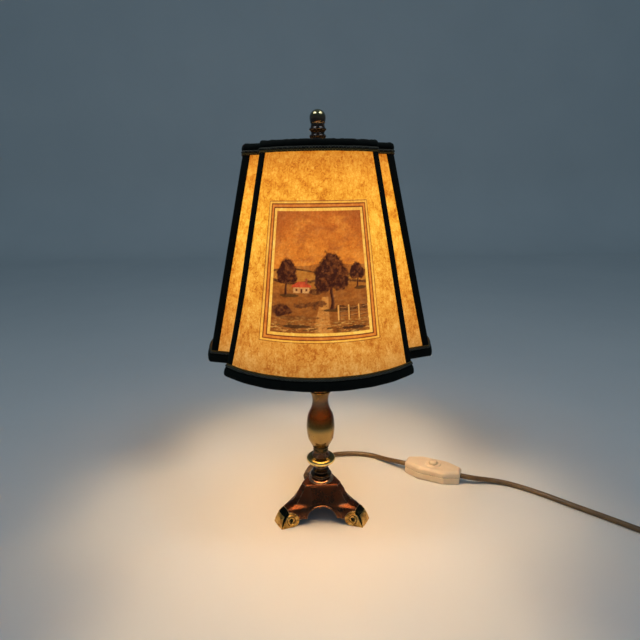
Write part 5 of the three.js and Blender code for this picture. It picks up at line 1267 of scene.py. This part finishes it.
# A made-up country scene, 72 mm wide and 92 mm high, painted back to front in warm sepia
class Picture:
    def __init__(self, x, y, seed):
        self.x, self.y, self.seed = x, y, seed
        self.paint = np.zeros((*x.shape, 3))

    def lay(self, cover, colour, other=None, share=None):
        colour = np.array(srgb(*colour))
        if other is not None:
            colour = colour + (np.array(srgb(*other)) - colour) * np.clip(share, 0, 1)[..., None]
        cover = np.clip(cover, 0, 1)[..., None]
        self.paint = self.paint * (1 - cover) + colour * cover

    def grain(self, size, squeeze=1.0, octaves=4):
        self.seed += 7
        return blotches(self.seed, self.x + 50, (self.y + 5) * squeeze, size, octaves)

    def below(self, line, soft):
        return (line - self.y) / soft + 0.5

    def blob(self, x, y, wide, high, ragged=0.35):
        away = np.hypot((self.x - x) / wide, (self.y - y) / high)
        return (1 - away + ragged * (self.grain(4.2) - 0.5) * 2) * 5

    def box(self, left, right, low, high):
        across = np.minimum(self.x - left, right - self.x)
        return np.minimum(across, np.minimum(self.y - low, high - self.y)) / 0.35 + 0.5

    def tree(self, x, foot, height, wide):
        trunk = wide * (0.075 + 0.05 * np.exp(-(self.y - foot) / 2.5))
        bend = x + 0.5 * np.sin(self.y / 3)
        stem = np.minimum(trunk - np.abs(self.x - bend), np.minimum(self.y - foot, foot + height * 0.7 - self.y))
        self.lay(self.blob(x + wide * 0.25, foot - 0.6, wide * 0.8, 1.5, 0.2), (92, 54, 18))
        self.lay(stem / 0.35 + 0.5, (66, 30, 14), (128, 74, 34), (self.x - bend) / trunk * 0.8)
        for dx, dy, size in ((-0.3, 0.56, 0.62), (0.34, 0.6, 0.6), (0, 0.76, 0.66), (-0.12, 0.62, 0.7),
                             (0.5, 0.47, 0.36), (-0.5, 0.45, 0.34)):
            cover = self.blob(x + dx * wide, foot + dy * height, size * wide, size * height * 0.42)
            light = self.grain(2.2) * 1.9 - 0.85 + (self.x - x - dx * wide) / wide * 0.35
            self.lay(cover, (62, 27, 13), (146, 78, 30), light)

    def hedge(self, line, thick):
        cover = (thick * (0.4 + 1.3 * self.grain(3)) - np.abs(self.y - line)) / 0.5 + 0.5
        self.lay(cover, (74, 38, 15), (138, 82, 30), self.grain(1.6) * 1.6 - 0.5)

    def fence(self, left, right, ground, height, posts):
        for level in (0.32, 0.62, 0.92):
            rail = ground + level * height + 0.25 * np.sin(self.x * 0.9 + level * 9)
            bar = np.minimum(0.42 - np.abs(self.y - rail), np.minimum(self.x - left, right - self.x)) / 0.3 + 0.5
            self.lay(bar, (72, 34, 15), (196, 122, 52), (self.y - rail) / 0.4 + 0.3)
        for place in np.linspace(left + 0.6, right - 0.6, posts):
            post = self.box(place - 0.75, place + 0.75, ground - 0.8, ground + height * 1.15)
            self.lay(post, (238, 160, 66), (70, 32, 14), (self.x - place) / 0.6 + 0.1)

    def cottage(self, x, y):
        self.lay(self.box(x - 6, x + 6, y, y + 4.6), (222, 158, 80), (186, 112, 52), self.grain(2))
        slope = np.minimum((y + 9.4 - self.y) * 1.5 + 1.4, 7.4)
        roof = np.minimum(slope - np.abs(self.x - x), np.minimum(self.y - y - 4.2, y + 8.6 - self.y)) / 0.4 + 0.5
        self.lay(roof, (214, 82, 36), (168, 56, 24), self.grain(1.2) * 1.4 - 0.2)
        self.lay(self.box(x + 3, x + 4.4, y + 7, y + 11), (150, 66, 32))
        for place, sill in ((-3.6, 1.4), (0.2, 0), (3.8, 1.4)):
            self.lay(self.box(x + place - 0.7, x + place + 0.7, y + sill, y + 3.2), (84, 38, 18))

    # A field under a wavy line: two colours, mixed by its grain times a gain plus a lift
    def field(self, line, colours, grain, gain=1.0, lift=0.0, soft=0.8):
        self.lay(self.below(line, soft), *colours, self.grain(*grain) * gain + lift)

    # A blob of leaves, with light and shade by its grain
    def bush(self, blob, colours, grain, gain, lift):
        self.lay(self.blob(*blob), *colours, self.grain(grain) * gain + lift)

    def country(self):
        x, y = self.x, self.y
        height = (y - 50) / 42
        self.lay(np.ones_like(x), (222, 126, 34), (196, 102, 30), height * 1.1)
        self.lay((self.grain(17, 2.4) - 0.47) * 4 * (0.3 + height), (230, 136, 42))
        self.lay((self.grain(12, 2.0) - 0.55) * 3, (174, 90, 30))
        self.lay((np.hypot(x / 38, (y - 50) / 46) - 0.86) * 2.2, (172, 88, 30))
        far, middle = np.sin(x / 12 + 3.4), 1.8 * np.sin(x / 9 + 0.6)
        self.field(51 + 2.2 * np.sin(x / 15 + 1) + 0.8 * np.sin(x / 5), ((158, 88, 30), (186, 108, 36)), (6, 3),
                   soft=0.5)
        self.field(46.5 + 2.5 * far, ((168, 98, 30), (196, 120, 38)), (5, 3))
        self.hedge(46.2 + 2.3 * far, 0.55)
        self.field(40 + middle, ((180, 106, 32), (146, 80, 26)), (7, 2.5), 1.4, -0.2)
        self.hedge(39.6 + middle, 0.9)
        self.field(33 + 1.5 * np.sin(x / 14 + 5), ((168, 94, 30), (126, 66, 22)), (6, 2.5), 1.5, -0.25)
        self.tree(29, 34, 19, 7)
        self.cottage(-13.5, 30.5)
        self.tree(-25, 29, 27, 9.5)
        self.bush((-3, 31.5, 6, 2.4), ((78, 36, 15), (142, 84, 32)), 1.8, 1.6, -0.4)
        self.field(26 + 1.6 * np.sin(x / 13 + 2), ((132, 70, 22), (164, 92, 30)), (5, 3), 1.5, -0.2)
        path = -9 + 13 * np.sin((y - 2) / 17) + 0.02 * (26 - y) ** 2
        cover = ((2.2 + (27 - y) * 0.16 - np.abs(x - path)) / 0.8 + 0.5) * (y < 27.5)
        self.lay(cover, (212, 136, 52), (178, 104, 38), self.grain(2.4))
        self.tree(9, 18, 42, 15)
        self.bush((-29, 17, 9, 5), ((64, 28, 13), (132, 72, 28)), 2, 1.7, -0.6)
        self.bush((-6, 21.5, 11, 2.6, 1.2), ((92, 48, 18), (140, 78, 28)), 2, 1.6, -0.4)
        self.bush((-17, 11.5, 16, 1.7, 0.8), ((104, 56, 20), (150, 86, 30)), 2, 1.4, -0.3)
        self.hedge(19 + 0.9 * np.sin(x / 7 + 1) + np.where(x > 12, 0, 400), 1.5)
        self.fence(13, 37, 10, 9.5, 4)
        ground = np.clip((13 - y) / 9, 0, 1)
        self.lay((self.grain(4, 4.5) - 0.52) * 7 * ground, (110, 66, 22))
        self.lay((self.grain(3, 4.5) - 0.58) * 7 * ground, (218, 152, 66))
        self.lay(self.blob(-15, 5, 12, 1.3, 0.5), (84, 48, 18))
        self.lay(self.blob(24, 3.4, 11, 1.4, 0.5), (78, 42, 16))
        return self.paint * (0.8 + 0.4 * self.grain(1.1, octaves=2))[..., None]


# Sheet with the picture and its lined frame, glued on a wide panel: half its width in degrees, its ends in mm,
# the frame's width at the sides and the ends, how far the print is shifted and widened, and its mesh size
PRINT_EDGE, PRINT_LOW, PRINT_HIGH, FRAME_SIDE, FRAME_ENDS = 29.7, 224.9, 333.5, 5.5, 8.0
PRINT_SHIFT, PRINT_WIDEN, PRINT_GRID = -1.2, 0.045, 0.45

# Lines of the frame, from the sheet's edge inwards in shares of its width: two colours that mix in blotches
FRAME_LINES = ((-1, 0.08, (128, 66, 22), (196, 120, 42)), (0.08, 0.28, (254, 186, 66), (246, 168, 50)),
               (0.28, 0.38, (92, 34, 12), (158, 76, 26)), (0.38, 0.60, (200, 100, 32), (238, 144, 46)),
               (0.60, 0.71, (84, 30, 12), (138, 60, 22)), (0.71, 1.0, (255, 198, 80), (250, 176, 58)))


# Colours of the sheet as a share of the parchment's glow at the same height
def framed_picture(turn, z, seed, flip):
    inner_edge, inner_low = PRINT_EDGE - FRAME_SIDE, PRINT_LOW + FRAME_ENDS
    scale = 92 / (PRINT_HIGH - PRINT_LOW - 2 * FRAME_ENDS)
    paint = Picture(turn / inner_edge * 36 * flip, (z - inner_low) * scale, seed).country()
    ends = np.minimum(PRINT_HIGH - z, z - PRINT_LOW) / FRAME_ENDS
    inward = np.minimum((PRINT_EDGE - np.abs(turn)) / FRAME_SIDE, ends)
    worn = blotches(seed + 500, turn * 1.5, z, 3.0)[..., None]
    for start, end, colour, spots in FRAME_LINES:
        band = np.array(srgb(*colour)) * (1 - worn) + np.array(srgb(*spots)) * worn
        paint = np.where(((inward >= start) & (inward < end))[..., None], band, paint)
    levels, colours = zip(*GLOW)
    return paint / np.stack([np.interp(z, levels, channel) for channel in zip(*colours)], -1)


def printed_sheet(name, skin_name, middle, seed, flip):
    low_angle, high_angle = middle - FRONT_EDGE + SKIN_GAP, middle + FRONT_EDGE - SKIN_GAP
    radius = shade_radius((PRINT_LOW + PRINT_HIGH) / 2)
    turn = np.linspace(-PRINT_EDGE, PRINT_EDGE, ceil(radians(2 * PRINT_EDGE) * radius / PRINT_GRID))
    level = np.linspace(PRINT_LOW, PRINT_HIGH, ceil((PRINT_HIGH - PRINT_LOW) / PRINT_GRID))
    turn, level = np.array([turn[0], *turn, turn[-1]]), np.array([level[0], *level, level[-1]])
    turn, z = np.meshgrid(turn, level)
    proud = np.full(turn.shape, -0.12)
    proud[1:-1, 1:-1] = 0.05
    placed = turn * (1 + PRINT_WIDEN * (z - PRINT_LOW) / (PRINT_HIGH - PRINT_LOW)) + PRINT_SHIFT
    across = (placed + middle - low_angle) / (high_angle - low_angle)
    r = shade_radius(z) + ripple(skin_name, across * WIDE_STEPS, across, z) + proud
    angle = np.radians(placed + middle)
    points = uneven(np.stack([r * np.sin(angle), -r * np.cos(angle), z], -1).reshape(-1, 3))
    rows, columns = turn.shape
    faces = [(a, a + 1, a + columns + 1, a + columns) for a in
             (i * columns + j for i in range(rows - 1) for j in range(columns - 1))]
    mesh = bpy.data.meshes.new(name)
    mesh.from_pydata((points * MM).tolist(), [], faces)
    ink = mesh.attributes.new("ink", "FLOAT_COLOR", "POINT")
    paint = framed_picture(turn, z, seed, flip).reshape(-1, 3)
    ink.data.foreach_set("color", np.concatenate([paint, np.ones((len(paint), 1))], 1).astype(np.float32).ravel())
    return settle(finish_mesh(name, mesh, PRINT, None), "shade", "parchment")


printed_sheet("picture_front", "skin_front", 0, 40, 1)
printed_sheet("picture_back", "skin_back", 180, 90, -1)


# Wire frame: two rims, uprights, spider and hub
def wire_frame():
    radius = 1.2
    inset = -(PARCHMENT_THICK + 0.1 + radius)
    top, low = PANEL_TOP - radius, PANEL_LOW + radius
    shape = Shape()
    for z in (top, low):
        shape.loft([[(*shade_point(i, z, inset + radius * cos(a))[:2], z + radius * sin(a)) for a in angles(10)]
                    for i in range(COUNT)], looped=True)
    corners = [i for first, last, _, _ in arcs for i in (first, last)]
    notches = [(last + 1) % COUNT for _, last, _, _ in arcs]
    for i in corners + notches:
        shape.loft(wire_rings([shade_point(i, low, inset), shade_point(i, top, inset)], radius, 12))
    hub_low, hub_top = heights("harp_stud")[0] + 2.5, heights("finial")[0] - 0.1
    for i in (*arcs[0][:2], *arcs[2][:2]):
        end = np.array(shade_point(i, 371.2, inset))
        start = np.array((*(unit(end[:2]) * 8.8), (hub_low + hub_top) / 2))
        middle = (start + end) / 2 + np.array((0, 0, 0.9))
        shape.loft(wire_rings(curve([start, middle, end], 10), radius, 12))
        shape.loft(wire_rings([end - np.array((0, 0, 2.4)), end + np.array((0, 0, 2.4))], 1.9, 12))
    shape.lathe([(9.6, hub_low), (10, hub_low + 0.4), (10, hub_top - 0.4), (9.6, hub_top)], 48, bore=3.3)
    return settle(shape.warp(uneven).make("wire_frame", WIRE, 50), "shade", "steel", "shade_frame")


wire_frame()


# A closed outline at one height, with its corners rounded
def rounded_ring(corners, rounds, z, steps=6):
    corners = [np.array(corner, float) for corner in corners]
    ring = []
    for i, (p, rounding) in enumerate(zip(corners, rounds)):
        a, b = corners[i - 1] - p, corners[(i + 1) % len(corners)] - p
        angle = acos(max(-1.0, min(1.0, float(unit(a).dot(unit(b))))))
        reach = min(rounding / tan(angle / 2), np.linalg.norm(a) * 0.48, np.linalg.norm(b) * 0.48)
        start, end = p + unit(a) * reach, p + unit(b) * reach
        for t in (k / steps for k in range(steps + 1)):
            q = start * (1 - t) ** 2 + p * 2 * t * (1 - t) + end * t * t
            ring.append((q[0], q[1], z))
    return ring


# Inline switch, about its own centre with X along the cord
def housing_ring(z, inset):
    length, width, flat, end = 33 - inset, 14.5 - inset, 15.0, 6.5 - inset * 0.5
    corners = [(length, -end), (length, end), (flat, width), (-flat, width), (-length, end), (-length, -end),
               (-flat, -width), (flat, -width)]
    return rounded_ring(corners, [2.2, 2.2, 12, 12, 2.2, 2.2, 12, 12], z)


def on_switch(verts):
    return [switch_point(x, y, z) for x, y, z in verts]


def housing(levels):
    return Shape().loft([housing_ring(z, inset) for z, inset in levels])


LOWER_SHELL = ((0, 2.0), (0.25, 1.1), (0.8, 0.4), (1.6, 0.05), (3.0, 0), (7.9, 0), (8.3, 0.06), (8.6, 0.3))
UPPER_SHELL = ((9.0, 0.3), (9.2, 0.08), (9.6, 0), (13.3, 0), (13.9, 0.12), (14.4, 0.42), (15.6, 1.62), (16.1, 2.2),
               (16.4, 2.85), (16.5, 3.8), (16.52, 6.0))
BUTTON_COLLAR = ((9.3, 16.3), (9.0, 16.75), (8.55, 17.1), (8.35, 17.5), (8.0, 17.68), (7.5, 17.68), (7.2, 17.4),
                 (6.9, 17.2), (6.5, 17.2), (6.3, 17.5), (6.0, 17.68), (5.6, 17.66), (5.35, 17.4), (5.25, 16.8))
# From the hollow that takes the spring, round the skirt, to the top
BUTTON = ((0, 15.6), (3.7, 15.6), (3.95, 15.4), (3.95, 13.1), (4.1, 12.9), (4.7, 12.9), (4.9, 13.1), (4.9, 18.4),
          (4.86, 19.1), (4.62, 19.8), (4.1, 20.35), (3.2, 20.7), (2.0, 20.86), (1.0, 20.9), (0, 20.9))
for shape, name, material, sharp, body, node in (
        (housing(LOWER_SHELL), "switch_under_shell", IVORY, 50, "lamp", ("switch_housing_bottom",)),
        (housing(UPPER_SHELL).lathe(BUTTON_COLLAR, 64, bore=5.2), "switch_upper_shell", IVORY, 50, "lamp",
         ("switch_housing_top",)),
        (Shape().lathe(BUTTON, 56), "push_button", IVORY, 60, "button", ("switch_button",)),
        (housing(((8.5, 0.55), (9.1, 0.55))), "switch_seam", RUBBER, 50, "lamp", ())):
    settle(shape.warp(on_switch).make(name, material, sharp), body, "ivory", *node)


# Plug with ribbed sleeve and two round pins; a section's power makes it squarer
def plug():
    origin = tail_at(35)
    origin[2] = PLUG_HEIGHT
    axis = coil_tangent(COIL_TURNS)
    side, up = np.array((-axis[1], axis[0], 0)), np.array((0, 0, 1.0))

    def section(x, half_width, half_height, power=2):
        points = []
        for c, s in ((cos(a), sin(a)) for a in angles(40)):
            y = half_width * abs(c) ** (2 / power) * (1 if c >= 0 else -1)
            z = half_height * abs(s) ** (2 / power) * (1 if s >= 0 else -1)
            points.append(origin + axis * x + side * y + up * z)
        return points

    rings = [section(0.0, 3.3, 3.3), section(0.3, 3.9, 3.9)]
    for k in range(5):
        for ahead, lower in ((0, 0), (2.2, 0), (2.5, 0.8), (3.3, 0.8)):
            radius = 4.0 + 0.12 * k - lower
            rings.append(section(1.2 + k * 3.6 + ahead, radius, radius))
    rings += [section(*sizes) for sizes in (
        (20, 4.6, 4.6), (20.6, 8.5, 5.6, 2.2), (22, 10.6, 6.2, 2.4), (25, 12.2, 6.6, 2.6), (32, 15.4, 6.9, 3),
        (38, 16.8, 7.0, 3.2), (46, 17.5, 7.0, 3.4), (56.6, 17.5, 7.0, 3.6), (57.8, 17.2, 6.7, 3.6),
        (58.3, 16.6, 6.2, 3.6))]
    pieces = [settle(Shape().loft(rings).make("plug_shell", IVORY, 45), "lamp", "ivory", "plug_body")]
    for k, y in enumerate((-9.5, 9.5), 1):
        line = [origin + side * y + axis * x for x in (54, 58.3, 62, 75.2, 76.2, 76.9, 77.3)]
        pin = Shape().loft(wire_rings(line, [2, 2, 2, 2, 1.75, 1.2, 0.4], 24))
        pieces.append(settle(pin.make(f"plug_prong_{k}", STEEL, 50), "lamp", "steel", f"plug_pin_{k}"))
    return pieces


# The strip that ties the coil: a flat section carried round a rounded rectangle
def tie_strip():
    inner, outer = COIL_INNER - 3.6, COIL_RADIUS - COIL_PITCH * 0.5 + 3.6
    low, high = 0.6, 13.8
    angle = COIL_START + 2 * pi * (TURNS_IN + TURNS_BACK)

    def loop(grown, across):
        near, far, under, over = inner - grown, outer + grown, low - grown, high + grown
        ring = rounded_ring([(near, under), (far, under), (far, over), (near, over)], [2.4 + grown] * 4, 0, 8)
        return [np.array((*COIL_PLACE, 0)) + turn_to(angle, r, across, z) for r, z, _ in ring]

    section = [(0.0, -3.0), (0.55, -2.9), (0.6, -2.2), (0.6, 2.2), (0.55, 2.9), (0.0, 3.0)]
    shape = Shape().loft([loop(grown, across) for grown, across in section], looped=True)
    return settle(shape.make("coil_strap", TIE, 50), "lamp", "rubber", "coil_tie")


plug_pieces = plug()
strap = tie_strip()
round(line_length(far_line) * MM, 3)

# CAD nodes that stay, with their finishes
for node, finish in (("stem_rod", STEEL), ("rod_washer", STEEL), ("rod_nut", BRASS), ("inner_lead", RUBBER),
                     ("holder_core", CERAMIC), ("holder_screw_shell", BRASS), ("centre_contact", BRASS),
                     ("switch_screw", STEEL), ("switch_contact", BRASS), ("switch_terminal_1", BRASS),
                     ("switch_terminal_2", BRASS), ("switch_spring", STEEL)):
    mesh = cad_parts[node].data
    mesh.materials.clear()
    mesh.materials.append(finish)


# Plain pale floor that turns up into a backdrop, and soft light
def floor():
    edge, bend = 1950, 420
    profile = [(-5000, 0), (edge, 0)]
    profile += [(edge + bend * sin(a), bend - bend * cos(a)) for a in (pi / 2 * k / 16 for k in range(1, 17))]
    profile += [(edge + bend, 4600)]
    shape = Shape().loft([[(x, y, z) for y, z in profile] for x in (-8000, 8000)], caps=False, closed=False)
    g = Graph("floor_paint")
    paint = g.finish({
        "Base Color": g.ramp(g.noise(3, 3, 0.5), [(0.3, (0.66, 0.675, 0.68)), (0.7, (0.70, 0.71, 0.71))]),
        "Roughness": g.span(g.noise(20, 3, 0.5), 0.3, 0.7, 0.5, 0.6), "Specular IOR Level": 0.25})
    shape.make("floor", paint, None)


# A lamp at a place in mm, aimed at another
def light(name, kind, place, power, colour, size, aim=None):
    data = bpy.data.lights.new(name, kind)
    data.energy, data.color = power, colour
    if kind == "AREA":
        data.shape, data.size = "DISK", size
    else:
        data.shadow_soft_size = size
    obj = bpy.data.objects.new(name, data)
    scene.collection.objects.link(obj)
    obj.location = [c * MM for c in place]
    obj.visible_camera = False
    if aim is not None:
        obj.rotation_euler = (Vector(aim) - Vector(place)).to_track_quat("-Z", "Y").to_euler()


floor()
world = bpy.data.worlds.new("room")
world.use_nodes = True
background = world.node_tree.nodes["Background"].inputs
background["Color"].default_value, background["Strength"].default_value = (0.098, 0.145, 0.184, 1), 1.0
scene.world = world
light("bulb_light", "POINT", (0, 0, 292), 2.7, (1.0, 0.72, 0.41), 0.024)
light("shade_glow", "AREA", (0, 0, 200), 0.09, (1.0, 0.74, 0.42), 0.14, (0, 0, 0))
for name, (x, y, z), power, colour, width, aimed in (
        ("soft_light", (480, -440, 1400), 2.4, (0.85, 0.94, 1.0), 0.24, 200),
        ("finial_light", (79, -24, 526), 0.07, (0.96, 0.97, 1.0), 0.07, 402)):
    light(name + "_left", "AREA", (-x, y, z), power, colour, width, (0, 0, aimed))
    light(name + "_right", "AREA", (x, y, z), power, colour, width, (0, 0, aimed))
